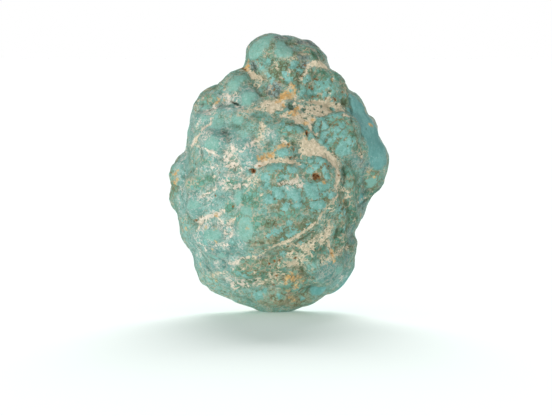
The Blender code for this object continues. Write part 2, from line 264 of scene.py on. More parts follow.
# Ground broken into islands by brown and green lines
WEBBY = ovals((8.6, 44.6, 5.6, 5.6), (11.6, 35.6, 6.6, 8.6), (7.4, 28.6, 6, 6), (3, 23, 11, 6.4),
    (8.4, 22.4, 7.4, 6), (0.8, 28.2, 7, 3.4), (2.6, 16.4, 8.4, 3.6), (19, 26.4, 4, 5),
    (3.6, 36.6, 3.4, 2.6), (13, 20.2, 2.6, 4.6), (7.4, 13.6, 6.4, 4), (3.4, 4.6, 6.4, 5), (-3.4, 8.4, 8, 5),
    (-14, 42.6, 3.6, 3), (15.2, 25.6, 3.4, 4))

# Ground flecked with cream
LACE = [
    *ovals((-10.6, 25.6, 3, 3), (-12.8, 28.8, 2.4, 1.6), (3.6, 10.4, 4.4, 3.6), (-2.6, 41, 3.4, 2.6),
        (-9.6, 42.6, 4.4, 2), (-14.8, 35.4, 3.2, 2.6), (-4.4, 33, 2.6, 1.8), (-3.4, 46.4, 2.6, 1.6),
        (-11.6, 13.2, 3, 1.4), (-9.4, 6.6, 3, 2), (-12.6, 7.4, 2.4, 1), (-9.8, 29.8, 3.4, 3.4),
        (3, 25.6, 4.6, 1.6), (-5.4, 25.8, 3.6, 2.6), (-0.6, 6.2, 4.4, 2), (11.6, 30, 2, 2.4),
        (-11.2, 17.4, 2.6, 1.8), (-15, 22.8, 2, 1.2), (4.4, 34.2, 1.8, 2.4), (9.4, 10.2, 3, 2),
        (-16.4, 41, 1.8, 2.6), (-18.4, 33, 2, 3.4), (-13.6, 40, 3.4, 2), (-3, 35.6, 1.6, 4),
        (-6.8, 40, 2.6, 2), (2.6, 50.6, 2.2, 0.9)),
    *paths([(-9.2, 32.6, 2.4), (-9, 29.6, 3.6), (-8.6, 28, 3)],
        [(5, 12.6, 2), (8.4, 14.4, 2.2), (9.8, 16, 2.4)]),
]

# Ground where cream fills the gaps between small nodules
CHALK = [
    *ovals((2.6, 9.6, 4, 2.2), (-1.4, 41.2, 4, 2.4), (4.4, 39, 3.6, 1.2), (-4.6, 47.4, 1.8, 1),
        (-16.4, 34, 1.4, 1.8)),
    *paths([(4, 10.4, 2.4), (6.6, 12, 2.4), (9.2, 14.2, 2.6), (10.2, 16.4, 2.2), (9.6, 18.6, 1.2)],
        [(-9.4, 32.4, 1.4), (-9.2, 30, 2.6), (-8, 28.4, 2)],
        [(6.4, 40.4, 2.4), (8.4, 40.4, 2.6), (10, 40.6, 2.2)],
        [(4.8, 33.2, 1.4), (6.6, 32.6, 2.4), (9.2, 31.4, 1.8), (11.4, 29.6, 1.4), (12.2, 26.4, 1.4)],
        [(-8.8, 5.2, 1.8), (-6, 5.6, 2), (-3, 6.4, 1.8), (0.4, 7.6, 1.8)], [(1, 12.6, 1), (4.4, 14.4, 1.2)],
        [(7, 15.8, 0.8), (9.6, 18.6, 1.2), (11.4, 21.4, 1.2)],
        [(-3.2, 37.2, 0.8), (-3.4, 35.4, 0.8), (-4.4, 34, 1)], [(8.6, 49.4, 1.2), (6.4, 49.2, 1)],
        [(12.4, 23.4, 1), (10, 20.4, 1.2)], [(-15.6, 18.2, 1), (-11.4, 19.8, 0.8)],
        [(-10, 17.6, 1), (-8.8, 18.2, 0.8)], [(-5.6, 26.6, 1), (-6.8, 25.2, 1), (-10, 24.4, 0.8)],
        [(-5, 10.6, 0.8), (-9.4, 9.6, 0.8)], [(12.2, 24.8, 0.8), (14.2, 23.2, 0.8)],
        [(10.8, 11.4, 1), (13.6, 12.6, 1)], [(-14.8, 23.4, 0.9), (-12.6, 24.6, 0.9)]),
]

# Cream veins and patches
CREAM = [
    # neck and crown
    *dots(0.4, (2, 48)),
    *paths([(-5.9, 48.2, 0.9), (-5.2, 47.4, 1.1), (-4.2, 46.9, 0.9), (-3.4, 46.5, 0.6)],
        [(9.9, 48.9, 1), (9, 49.3, 1.3), (8.2, 49.6, 1.3), (7.2, 49.6, 1), (6.4, 49.3, 0.8),
         (5.8, 48.4, 0.6), (5.1, 47, 0.4), (4.3, 45.9, 0.4)],
        [(-5.8, 48.1, 0.9), (-5, 47.5, 0.7), (-4.4, 47.3, 0.4)],
        [(-0.8, 50, 0.35), (-0.4, 49.4, 0.35), (0, 48.5, 0.35)], [(-5.4, 47, 0.3), (-4.4, 46, 0.3)],
        [(10.6, 47.6, 0.3), (11.2, 46.8, 0.3)], [(-4.6, 45.4, 0.4), (-4, 45, 0.4)]),
    # the cream band across the upper middle
    *ovals((-1.2, 41.4, 4.4, 1.8), (8.2, 40.5, 3.6, 1.8), (5.2, 39.3, 3, 1.6), (-1.4, 40.4, 1.6, 1.9),
        (4.2, 38.2, 2, 1.4), (8.4, 40.6, 2.6, 1.6), (7, 33.6, 2.4, 1.4), (-4.9, 41.4, 0.5, 0.5)),
    *paths([(9.6, 41.9, 1), (11.4, 41.2, 1), (13, 40.4, 0.9)],
        [(3.4, 41.6, 0.6), (4.6, 40.8, 1.2), (5.6, 40.4, 1.2)],
        [(-2.7, 42.1, 0.7), (-1.6, 41.9, 1.3), (-0.4, 41.9, 1.6), (0.8, 41.6, 1.2), (1.2, 41.4, 0.8)],
        [(-0.6, 40.8, 1), (0.8, 40.6, 0.8)], [(1.9, 39.8, 0.7), (1.3, 39.4, 0.8), (0.6, 39.3, 0.5)],
        [(-4.4, 40.7, 0.8), (-3.4, 40.6, 0.7)], [(3.5, 43.2, 0.4), (3.6, 42.4, 0.4), (4.9, 42.1, 0.6)],
        [(2, 44.6, 0.5), (2.5, 44.8, 0.7)], [(1.8, 38.8, 0.6), (3, 38.6, 0.9), (4.6, 38.5, 0.7)],
        [(5.6, 41.9, 0.5), (7, 41.8, 1), (8.4, 41.6, 1.2), (9.6, 41, 1.5), (9.9, 40.2, 1.9)],
        [(5.9, 41, 0.7), (6.6, 40, 1.1), (7.4, 39.6, 1.4), (8.4, 39.6, 1.4), (9.4, 39.8, 1.2)],
        [(5, 39.2, 0.8), (6, 38.9, 0.9), (6.8, 38.6, 1.4), (6.5, 37.6, 1.3), (6.4, 36.8, 0.9),
         (6.6, 36.2, 0.6)], [(9.4, 42.6, 0.5), (10.4, 42.2, 0.6)], [(13.2, 39.4, 0.8), (14, 39.4, 0.7)],
        [(10, 44.6, 0.3), (10.6, 43.4, 0.3), (10.5, 42.4, 0.4)],
        [(3.4, 38.8, 1.2), (5, 38.3, 1.2), (6.2, 37.6, 1.2)], [(11.6, 40.2, 0.8), (12.4, 40.4, 0.8)],
        [(12.6, 41.3, 0.4), (13, 41, 0.4)]),
    # upper left
    *ovals((-16.8, 34.2, 0.9, 1.2), (-10.7, 44.4, 0.5, 0.5), (-8.4, 43.5, 0.4, 0.4)),
    *paths([(-13.1, 41.2, 0.4), (-12.5, 40.6, 0.6)], [(-8.5, 41.2, 0.4), (-7.6, 41, 0.4), (-7, 40.7, 0.3)],
        [(-13.2, 38.6, 0.5), (-13.4, 37.8, 0.7), (-14.5, 37, 0.5), (-15.2, 36.4, 0.6), (-15.4, 35.7, 0.5),
         (-16, 35, 0.6), (-16.6, 34.3, 1), (-17.4, 33.2, 0.8)],
        [(-16.2, 33, 0.4), (-15, 32.6, 0.4), (-14, 32.1, 0.7), (-12.6, 31.5, 0.5)],
        [(-15.6, 42.2, 0.3), (-15, 42.7, 0.3)], [(-15.9, 38, 0.3), (-16.3, 36.6, 0.3)],
        [(-11, 43.5, 0.35), (-10, 43.3, 0.35), (-9, 43.1, 0.35)], [(-12.6, 31.5, 0.4), (-12, 31, 0.4)]),
    # left middle
    *ovals((-9.2, 32.6, 1, 0.8), (-10.4, 30.5, 1.2, 0.8), (-9.6, 29.2, 1.8, 0.8), (-9.3, 31.3, 0.8, 0.8),
        (-9, 29.5, 0.8, 0.6), (-7.5, 28.8, 0.7, 0.5)),
    *dots(0.5, (-12.3, 29), (-12.8, 27), (-10, 27.5), (-6.7, 27), (-12.5, 24.8)),
    *dots(0.4, (-16.4, 28.6), (-15, 29), (-8.6, 24.6), (-10.4, 24.3), (-14, 22.1)),
    *paths([(-10.8, 32, 0.4), (-9.9, 31.2, 0.6), (-10.4, 30.2, 0.4)],
        [(-7.5, 32, 0.3), (-6.2, 33, 0.4), (-5, 34, 0.5), (-4, 34.4, 0.6)],
        [(-14.8, 23.3, 0.35), (-13.5, 23.8, 0.35)]),
    *lines(0.4, [(-5.2, 27.4), (-5.8, 26.3)], [(-7.8, 25.1), (-6.8, 25.4), (-6, 25.3)]),
    # the arc and the patches round the middle dome
    *ovals((-0.6, 33.2, 0.4, 0.4), (5, 27, 0.6, 0.6), (-3.3, 23.5, 0.5, 0.5), (1.9, 24.6, 0.3, 0.3)),
    *paths([(-4.5, 28.9, 0.7), (-3.5, 29.5, 1.1), (-2.5, 30, 1.1), (-1.5, 30.3, 1), (0, 30.4, 0.8),
         (2, 30.2, 0.7), (3.5, 29.9, 0.6), (4.2, 29.5, 0.5)], [(0.5, 33.9, 0.4), (2.2, 33.8, 0.5)],
        [(-3.5, 38, 0.4), (-2.9, 37.2, 0.6), (-3.2, 36.2, 0.4), (-3.2, 35.3, 0.4), (-4, 34.3, 0.6)],
        [(5.2, 34.4, 0.9), (5.6, 33.2, 2), (6.6, 32.6, 2.6), (7.8, 32.2, 2.2), (9.2, 31.5, 1.6)],
        [(7, 34, 0.9), (8, 33.2, 1), (8.9, 32.4, 1)], [(4.6, 32, 0.8), (6, 31.7, 1.2), (7.4, 31.6, 0.7)],
        [(9.2, 31.5, 2), (10.6, 30.6, 2.1), (11.5, 29.7, 1.7), (12, 28.3, 1.4), (11.9, 26.6, 1.1),
         (11.9, 25.3, 0.8), (11.6, 24.5, 0.5), (12, 24, 0.4)], [(6.9, 35.6, 0.3), (7.8, 35.5, 0.4)],
        [(0.3, 25.5, 0.3), (1.6, 25.8, 0.4), (2.8, 25.9, 0.5), (3.6, 26.3, 0.8), (4, 26.9, 0.7)],
        [(4.3, 24.9, 0.4), (5, 25.4, 0.5)], [(12.3, 25, 0.5), (13, 24.5, 0.4), (13.4, 23.9, 0.3)],
        [(13.4, 24.5, 0.3), (14, 24, 0.4), (14.3, 23, 0.5), (13.5, 22.7, 0.4)],
        [(16.2, 31.8, 0.35), (17, 31.1, 0.35)]),
    *lines(0.3, [(3.8, 30.9), (4.6, 31.2)], [(17.6, 22.9), (17, 22.5), (15.8, 21.8)]),
    # the diagonal ledge
    *ovals((5.6, 12.3, 1.5, 0.9), (3, 9.5, 2.3, 1.1)),
    *paths([(-9.7, 9.6, 0.3), (-8.8, 9.5, 0.5), (-8, 10.1, 0.4), (-7, 10.4, 0.4), (-5.5, 10.9, 0.5),
         (-4.3, 10.9, 0.4)], [(-4.3, 10.9, 0.3), (-3.3, 11.5, 0.3), (-2.2, 12.3, 0.4), (-0.8, 13.1, 0.7),
         (0.5, 13.4, 0.8), (1.5, 13.8, 0.8), (2.8, 14.4, 0.9), (4, 15, 0.8), (5, 15.7, 0.7), (6, 16.4, 0.5),
         (7, 17.2, 0.5), (8.2, 18.2, 0.6), (8.6, 18.9, 0.5), (9.4, 20, 0.5), (10, 21.2, 0.4),
         (11, 22.2, 0.3)], [(11, 22.2, 0.4), (12.1, 23.3, 0.5)],
        [(10.2, 16.2, 1.2), (9.6, 15, 1.6), (9, 14.2, 1.2), (8.4, 13.8, 0.7)],
        [(10.4, 18, 0.5), (10.2, 16.8, 0.9)], [(8.4, 15.2, 0.5), (7.4, 14.6, 0.3)],
        [(10.2, 14, 0.7), (10.5, 12.7, 0.6), (10.7, 11.8, 0.5)],
        [(11, 10.7, 0.4), (11.8, 11.5, 0.4), (13, 12.6, 0.5), (14, 13, 0.4)],
        [(2.4, 13.6, 0.5), (3.6, 13.2, 0.4), (4.6, 12.8, 0.5)], [(7, 12.8, 0.5), (6.4, 13.4, 0.5)],
        [(3.8, 10.2, 0.5), (4.8, 11.2, 0.5)], [(0, 8.8, 0.3), (0.2, 9.7, 0.3)],
        [(2, 11.4, 0.3), (3, 12, 0.3)]),
    # lower left
    *ovals((-9, 8.6, 0.5, 0.5), (13.2, 16.8, 0.3, 0.3)),
    *dots(0.4, (-9.9, 12.8), (-7, 8.5), (-4.7, 7.5)),
    *paths([(-15.8, 17.9, 0.9), (-15.2, 18.4, 1), (-14, 18.9, 0.7), (-13, 19.3, 0.6), (-12, 19.5, 0.5),
         (-11, 20.1, 0.5)], [(-10.1, 17.4, 0.5), (-9.4, 18, 0.7), (-8.7, 18.4, 0.4)],
        [(-9.8, 17, 0.35), (-9.1, 16.4, 0.3), (-9.4, 15, 0.3)],
        [(-9.2, 5.8, 0.4), (-9, 4.8, 0.6), (-8.8, 4.1, 0.4)],
        [(-7.3, 5.3, 0.6), (-6.3, 5.4, 0.5), (-5.8, 4.9, 0.4)],
        [(-5, 5.3, 0.3), (-4, 6, 0.4), (-3, 5.6, 0.3), (-2.2, 6.3, 0.3)],
        [(-4, 5.1, 0.3), (-2.7, 5.7, 0.4), (-2, 6.5, 0.3), (-1, 7, 0.4), (1, 7.4, 0.5)],
        [(-10.7, 16, 0.4), (-10.4, 15.4, 0.4)], [(-11, 13.2, 0.35), (-10.3, 13.2, 0.35)],
        [(9.2, 10, 0.25), (9.8, 10.4, 0.25), (10.3, 10.6, 0.25)]),
    *lines(0.3, [(-15.6, 17.5), (-16.2, 16.2)], [(-12, 18.7), (-11.3, 17.8)],
        [(-15.8, 13.6), (-14.8, 12.9), (-14.5, 12.2)], [(-13, 7.4), (-11.8, 7.7), (-10.3, 7.8)]),
]

# Ochre patches and stains
OCHRE = [
    *ovals((1.5, 43.8, 0.9, 0.6), (3.4, 39.6, 1.6, 1), (16.2, 19.2, 0.5, 0.9), (2, 4.1, 0.6, 0.4),
        (1.1, 41.3, 0.5, 0.5), (-1.1, 31.5, 0.5, 0.5), (18.1, 28.2, 0.2, 0.2), (19.2, 27, 0.25, 0.25),
        (-12.5, 13.9, 0.25, 0.25), (-14.5, 16.8, 0.35, 0.35)),
    *dots(0.8, (5.6, 37.7), (2.1, 6.9), (3, 6.4)),
    *dots(0.6, (-3.9, 30.8), (18.3, 37.2), (2.7, 7.4)),
    *dots(0.4, (6.9, 38.4), (5.4, 35.6), (13.2, 22.2), (-12.5, 19.3), (9.2, 25.9), (17.5, 40), (11, 46.6)),
    *dots(0.3, (-10.8, 42.5), (12.9, 19.6), (5.2, 6.1), (-12.8, 16.7), (-13.3, 12.3), (-15.5, 9.6),
        (-12.2, 6.5), (-6.2, 16.6), (-18.6, 16.6)),
    *paths([(0.4, 42.5, 0.5), (1.2, 43, 1.2), (1.9, 43.3, 1.5), (2.8, 43.2, 0.9), (3.2, 43.6, 0.6)],
        [(2.6, 45.2, 0.4), (3.1, 44.9, 0.5), (3.4, 44.4, 0.5), (3.3, 43.8, 0.4)],
        [(4.1, 41.1, 0.4), (3.6, 40.4, 0.7), (3, 39.9, 0.9), (2.5, 39.7, 0.5)],
        [(-6, 50, 0.3), (-6.2, 49.2, 0.7), (-6.2, 48.5, 0.8)], [(-20.2, 26.6, 0.3), (-20.8, 25.6, 0.4)],
        [(-3.6, 30.5, 0.6), (-2.4, 31, 1.2), (-1.4, 31.3, 0.8)], [(5.8, 35, 0.4), (5.8, 34.4, 0.5)],
        [(10.7, 12.2, 0.4), (10.8, 11.6, 0.6), (10.9, 10.8, 0.5), (11.2, 10.1, 0.3)],
        [(-12, 42.4, 0.25), (-12.3, 41.7, 0.25)]),
    *lines(0.4, [(-0.1, 42.1), (0.3, 42.2)], [(-0.4, 32.5), (0.6, 33.2), (2.2, 33.4)],
        [(0, 32.9), (-0.6, 32.4)]),
    *lines(0.3, [(-20.7, 27.4), (-20.1, 28.2)], [(1.7, 6.4), (1.5, 5.6)], [(3.4, 5.8), (3.9, 4.8)],
        [(4, 7), (4.5, 6.6)], [(2.3, 2.7), (2.9, 2.6), (3.2, 2.1)]),
]

# Rust-brown spots, and fine brown lines
RUST = [
    *ovals((-5.05, 28.1, 0.9, 0.8), (5.9, 35.7, 0.9, 0.9), (7.3, 27.3, 0.8, 0.8), (8, 26.9, 0.7, 0.7),
        (7.5, 26.7, 0.7, 0.7), (-0.9, 5.1, 0.35, 0.35)),
    *dots(0.4, (8, 27.5), (-1.7, 9.5), (3.5, 10.6)),
    *dots(0.3, (-5.6, 28.3), (-3.9, 47.7), (0.3, 45.9), (4.1, 47.6), (-0.8, 44.3), (6.6, 42), (12.9, 43.9),
        (-17.5, 28.1), (-3.7, 29.2), (2.5, 30.7), (10.3, 29.2), (12.1, 27.3), (12.2, 21.2), (-0.7, 10),
        (0.4, 10.2), (-0.3, 7), (9.6, 42.4)),
    *dots(0.25, (6.3, 44.8), (6.9, 44.4), (-11.6, 27.8), (2.1, 33.4), (3.1, 32.4), (9.4, 29.5), (13.1, 19),
        (2.1, 13), (-9.1, 20.9), (-12.5, 23.2)),
    *dots(0.2, (-3.3, 49.4), (1.1, 46.5), (4, 48.8), (4.9, 47.1), (5.5, 49.2), (1.9, 32.9)),
    *paths([(-7.1, 48.6, 0.4), (-6.6, 48.4, 0.3)], [(11.2, 42.6, 0.3), (11.5, 42.2, 0.4)],
        [(-16.9, 18, 0.35), (-16.4, 18.2, 0.25)], [(-16.9, 40.6, 0.25), (-16.5, 40.3, 0.25)]),
    *lines(0.15, [(7.3, 46.5), (8, 46.3)], [(6.8, 42.9), (7.4, 43), (8, 43.1)]),
]
BROWN = [
    *paths([(4.4, 14.5, 0.2), (5.4, 15.3, 0.25), (6.2, 15.9, 0.25), (7, 16.7, 0.2)]),
    *lines(0.2, [(-6.4, 49.9), (-5.2, 49.9), (-3.8, 50.3)],
        [(-1.9, 24.2), (-0.9, 22.6), (0.4, 22.2), (1.6, 22.4)],
        [(5.9, 21.8), (7, 22.1), (8.2, 22.4), (9.6, 22.6), (10.2, 23.6), (11.4, 24.2)],
        [(8, 25.4), (8.2, 24.2), (8.4, 23)], [(-2.6, 28), (-1, 28.1), (0.8, 28), (1.6, 27.6), (3, 27.6)],
        [(1.6, 29.2), (1.4, 28.4), (0.8, 28)], [(9.7, 24.2), (10.6, 24.4), (11, 25.4), (10.2, 26.4)],
        [(6.4, 25.8), (7.2, 26), (8.2, 26), (9.2, 26.6)],
        [(10, 38.6), (10.6, 38), (10.2, 36.8), (9.6, 36.2), (8.7, 36.2)],
        [(8.6, 38), (8.6, 37), (8.4, 35.4), (8, 34.4)], [(10.4, 36), (10.4, 35), (9.8, 34.2), (9.2, 33.4)],
        [(11.2, 34), (11.4, 33), (11.2, 32), (11.6, 31)],
        [(11, 37.4), (12, 37.6), (12.2, 36.8), (13, 36.6), (13.8, 36)],
        [(11.4, 36.4), (11.9, 35.6), (12.3, 34.8), (13.2, 34.3)], [(14, 33), (14.8, 33.2), (15, 34.4)],
        [(13.6, 38), (14.2, 37.6), (15, 38)], [(-16.5, 41), (-16, 42.2), (-15, 43.6)],
        [(12, 24), (12.6, 22.8), (12.4, 21.6)], [(4.5, 39.3), (5.4, 38.2), (5.2, 37.6)],
        [(12.2, 18.6), (13.4, 18.9), (14.2, 20.4)]),
]

# Raised pale islands that can be told apart
ISLANDS = [
    *ovals((-2, 50, 1, 0.7), (3.3, 49.6, 1.3, 0.9), (4.4, 48.3, 0.9, 0.7), (1.4, 47.4, 0.9, 0.9),
        (2.1, 46.3, 1.1, 0.8), (-2, 47.3, 0.6, 1.1), (9, 44.8, 1, 1.2), (6.8, 43.8, 1.9, 0.9),
        (6, 46.7, 0.9, 0.7), (8.2, 45.6, 0.9, 0.7), (9.9, 46, 0.9, 0.8), (10.8, 41.5, 1.1, 0.9),
        (11.2, 40.6, 0.6, 1), (9.6, 41.6, 0.6, 0.6), (2.3, 36.8, 0.8, 1.1), (4.2, 36.7, 1.3, 1.4),
        (0.6, 37.6, 0.8, 0.6), (10.4, 34.4, 0.9, 0.7), (9.9, 33, 0.6, 0.6), (12.8, 32.2, 2.2, 2.4),
        (13.2, 33.6, 1.6, 0.9), (12, 36.5, 1.3, 1.2), (11.5, 35.5, 0.8, 1), (13, 37.4, 0.9, 0.7),
        (11.7, 39.4, 1.7, 0.8), (10.5, 39.2, 0.5, 0.5), (8.4, 38.6, 1, 0.5), (7.7, 36.6, 1, 0.8),
        (12.7, 35.2, 0.9, 0.7), (13.2, 36.2, 0.6, 0.6), (14.3, 32.2, 0.8, 1.1), (6.4, 35, 0.4, 0.8),
        (8.4, 30.4, 1.4, 1.2), (7.7, 29.1, 1.2, 0.9), (5, 29.3, 1.1, 0.9), (9.5, 28.4, 0.9, 1),
        (10, 27.2, 0.8, 1.2), (-0.2, 29, 2, 0.9), (2.7, 28.5, 1.8, 1.2), (1.3, 27, 1.4, 0.7),
        (-2.4, 25.3, 1, 0.9), (-2.6, 27, 1.4, 0.8), (9.1, 25, 2.2, 1.4), (8, 21.2, 3.2, 1.5),
        (-1.8, 22.6, 1.7, 1.6), (1.6, 21, 1.3, 1.1), (4, 21.2, 1.5, 1), (10.8, 23.3, 1, 1),
        (9.6, 23.4, 0.9, 0.8), (2.1, 15.2, 0.8, 0.7), (-0.6, 16.1, 1.2, 0.8), (2.3, 17.6, 1, 0.7),
        (3.3, 15.9, 0.6, 0.5), (-4, 3.2, 1.4, 1.7), (12.2, 20.6, 0.9, 0.9), (12.6, 19.2, 0.7, 0.6),
        (13.5, 16.8, 0.8, 0.8), (0.9, 31.8, 2.3, 1.2), (-12.6, 10.6, 0.9, 0.7)),
    *dots(0.8, (10.6, 44.6), (9.6, 43.2), (6.4, 30.2), (-14.6, 13.8)),
    *dots(0.7, (-1.2, 46.2), (5.3, 44.2), (6.3, 28.2), (-6.4, 6.8), (-8, 7.4)),
    *dots(0.6, (-3.2, 48.8), (3, 48.8), (5.3, 46.3), (4.8, 43.5), (8.2, 44.3), (8.2, 37.5), (6.6, 31),
        (0.4, 26.5), (-1.8, 15.2), (13.4, 19.9), (-9, 13.8), (1, 11.6), (-2.6, 4.2), (0.2, 3), (4.8, 2.6),
        (6.8, 12), (8, 12.8), (4.8, 13.8)),
    *dots(0.5, (12.6, 42.8), (13.4, 43.2), (2.3, 44), (11.3, 34.5), (0.5, 16.5), (6.4, 17.5), (0.7, 14.3),
        (2.6, 16.4)),
    *paths([(9.2, 37.9, 0.7), (9.5, 37, 0.9), (9, 36.5, 0.7)],
        [(9.4, 35.8, 0.9), (9.2, 35, 0.9), (8.7, 34, 0.8)], [(14.3, 34.8, 0.5), (14.4, 33.6, 0.6)],
        [(15.2, 34.2, 0.4), (15.1, 33.5, 0.5)], [(-0.6, 24.4, 1), (0.2, 23.4, 1.6)],
        [(2.2, 24.6, 1.6), (3.2, 23.5, 2.2), (4, 22.4, 1.2)],
        [(5.8, 25.3, 1.4), (6.8, 24.4, 2.6), (7.7, 23.1, 1.6)], [(9.3, 33.3, 0.4), (9.8, 33.7, 0.4)]),
]

# Dark grey-green dots
DARK = [
    *ovals((5.6, 41.6, 0.7, 0.3), (9.4, 16.6, 0.8, 0.4), (2.5, 41.4, 1, 1.5), (5.1, 40.5, 1, 0.9),
        (6.5, 41.2, 0.35, 0.35), (13.2, 38.9, 0.35, 0.35), (2.7, 40.7, 0.7, 0.7), (16.8, 20.6, 0.7, 0.7),
        (14.8, 18.9, 0.8, 0.8)),
    *dots(0.6, (8.7, 41), (5.5, 38.8), (12.7, 26.1), (9, 39.9), (11.6, 41.5)),
    *dots(0.5, (7.4, 40.5), (5.5, 40.7), (7, 37.5), (4.5, 39.8), (-1.8, 41.5), (1.7, 41.5), (7.4, 13.6)),
    *dots(0.4, (6.1, 39.4), (7, 38.9), (5.3, 40), (-0.6, 44.3), (-0.2, 42.8), (-5, 49.3), (-4.6, 48.5),
        (-1.2, 45.2), (-0.2, 44.9), (0.3, 43.9), (13.5, 41.8), (10.8, 31.8), (11, 21.3), (10.7, 20.3),
        (10.4, 19.2), (8.6, 16.9), (8.3, 13), (4, 12), (5.2, 11.4), (2.2, 10.4), (1.2, 9.6), (8.6, 9.8),
        (7.4, 10.8), (2.4, 37.6), (20.8, 26.4)),
    *dots(0.3, (6.6, 40.4), (8, 40.2), (8.2, 38.9), (-2.7, 41.3), (-5.2, 48.2), (-18.7, 28.2),
        (-16.5, 29.5), (12.9, 39.5), (6.6, 13.6), (-10.4, 36), (-11.1, 35.6), (-9.8, 35.5), (9, 16.2),
        (-15.3, 41.4), (-13.1, 41.7), (-11.6, 43.8), (17.6, 36.4)),
    *lines(0.3, [(3.5, 41.4), (4, 41.3)], [(-14, 40.9), (-13.6, 40.4)],
        [(12.8, 28.8), (12.9, 27.4), (12.7, 26.1)], [(4.4, 37.5), (5, 36.9), (5.6, 36.3)],
        [(16.6, 32), (16.9, 31.5)]),
]

# Sunk places, the open crack, and the creases between lobes and along the ledge. The material also darkens the
# crack and the creases as painted shade.
PITS = ovals((5.9, 35.7, 0.8, 0.8), (7.6, 27.1, 0.7, 0.7), (2.7, 41, 1.6, 1.6), (12.7, 26.2, 0.9, 0.9))
CRACK = paths([(-9.5, 42.15, 0.18), (-8.8, 41.9, 0.32), (-8.2, 41.65, 0.36), (-7.6, 41.3, 0.2)])
CREASES = [
    *lines(0.3, [(5.4, 48.1), (4.2, 46.4), (4.3, 44.6)], [(11, 47.2), (10.8, 45.1), (10, 43.4)],
        [(14.4, 42.6), (14.7, 40.4), (14.9, 38.3)], [(13.3, 28.8), (13.5, 27.2), (13.3, 25.4)],
        [(-16.8, 42.2), (-15.2, 41.3)], [(-4.6, 45.4), (-4, 44)], [(12.2, 16.8), (11.6, 14.8)],
        [(16, 21), (18, 22.6)]),
    *lines(0.25, [(3.2, 13.3), (5.2, 14.6), (7, 15.9)], [(7.3, 38), (7.1, 36.4), (7.8, 34.8)],
        [(-5.6, 14), (-3, 13.5)]),
]

# Wide, low swellings (above 0) and dents (below 0): (x, z, radius, height)
SWELLS = [
    (10.4, 3.9, 3.6, 0.6), (-13.9, 5.4, 2.6, 0.7), (-18.3, 12.3, 2, -0.5), (16.8, 19.2, 2, 0.5),
    (15.5, 10, 2.2, 0.35), (15.7, 15.8, 1.6, -0.3), (19.8, 36.6, 2.2, 0.5), (21, 32.6, 2, 0.35),
    (19.2, 23.6, 2, 0.4), (-20.6, 30.2, 1.8, 0.5), (-21.1, 21.6, 2, 0.3), (6, 1.6, 2.4, 0.5),
    (-9.2, 47.6, 2.2, 0.35), (-16.4, 42.4, 1.6, 0.3), (12.2, 47.4, 2, -0.2), (7.4, 53.4, 1.6, 0.3),
]

# Every kind of feature: what the front carries, and what the hidden sides and the back carry, as how many
# features, their width in mm and their length in steps
KINDS = {
    "cream": (CREAM, [(16, 0.8, 16), (10, 1.6, 4), (50, 0.5, 2)]),
    "ochre": (OCHRE, [(5, 1.4, 3), (14, 0.4, 1)]),
    "rust": (RUST, [(26, 0.4, 1), (3, 1.1, 2)]),
    "brown": (BROWN, [(26, 0.22, 8)]),
    "islands": (ISLANDS, [(70, 1.0, 1), (30, 1.8, 2)]),
    "dark": (DARK, [(40, 0.5, 1)]),
    "pale": (PALE, [(12, 2.8, 3)]),
    "slab": (SLAB, [(2, 5.0, 10)]),
    "blue": (BLUE, [(5, 3.2, 3)]),
    "green": (GREEN, [(12, 3.6, 3)]),
    "olive": (OLIVE, [(11, 3.0, 4)]),
    "grey": (GREY, [(6, 2.4, 3)]),
    "webby": (WEBBY, [(9, 6.0, 4)]),
    "lace": (LACE, [(14, 3.0, 4)]),
    "milky": (MILKY, [(7, 8.0, 5)]),
    "chalk": (CHALK, [(9, 2.6, 6)]),
    "tan": (TAN, [(7, 3.0, 5)]),
    "deep": (DEEP, [(12, 2.6, 4)]),
    "dusk": (DUSK, [(6, 4.0, 5)]),
    "pits": (PITS, []),
    "crack": (CRACK, []),
    "creases": (CREASES, []),
}


def view_axis():
    """The direction from the target to the camera."""
    tilt = math.radians(ELEVATION)
    return Vector((0, -math.cos(tilt), math.sin(tilt)))


# ---------------------------------------------------------------- noise on points

def hashed(cells, seed):
    """A steady random number from 0 to 1 for each whole-number cell."""
    mixed = np.bitwise_xor.reduce(cells.astype(np.int64) * CELL_PRIMES, axis=-1) ^ (seed + 1) * SEED_PRIME
    mixed = mixed.astype(np.uint64) & WORD
    for _ in range(2):
        mixed = ((mixed >> HALF_WORD) ^ mixed) * MIX_PRIME & WORD
    return ((mixed >> HALF_WORD) ^ mixed).astype(float) / float(WORD)


def noise(points, size, seed):
    """Smooth noise from 0 to 1 whose lumps are about size mm across."""
    scaled = points / size
    base = np.floor(scaled)
    part = scaled - base
    part = part * part * (3 - 2 * part)
    total = np.zeros(len(points))
    for corner in np.ndindex(2, 2, 2):
        weight = np.where(corner, part, 1 - part).prod(axis=1)
        total += weight * hashed(base + corner, seed)
    return total


def layered(points, size, seed, layers=3):
    """Noise with finer noise on top, from 0 to 1."""
    total = np.zeros(len(points))
    whole = 0.0
    for layer in range(layers):
        share = LAYER_SHARE ** layer
        total += share * noise(points + LAYER_SHIFT * layer, size / 2 ** layer, seed + LAYER_SEEDS * layer)
        whole += share
    return total / whole


def warped(points, reach, size, seed):
    """The points moved about by noise, by up to half of reach in mm."""
    moves = [layered(points, size, seed + axis) - 0.5 for axis in range(3)]
    return points + reach * np.stack(moves, axis=1)


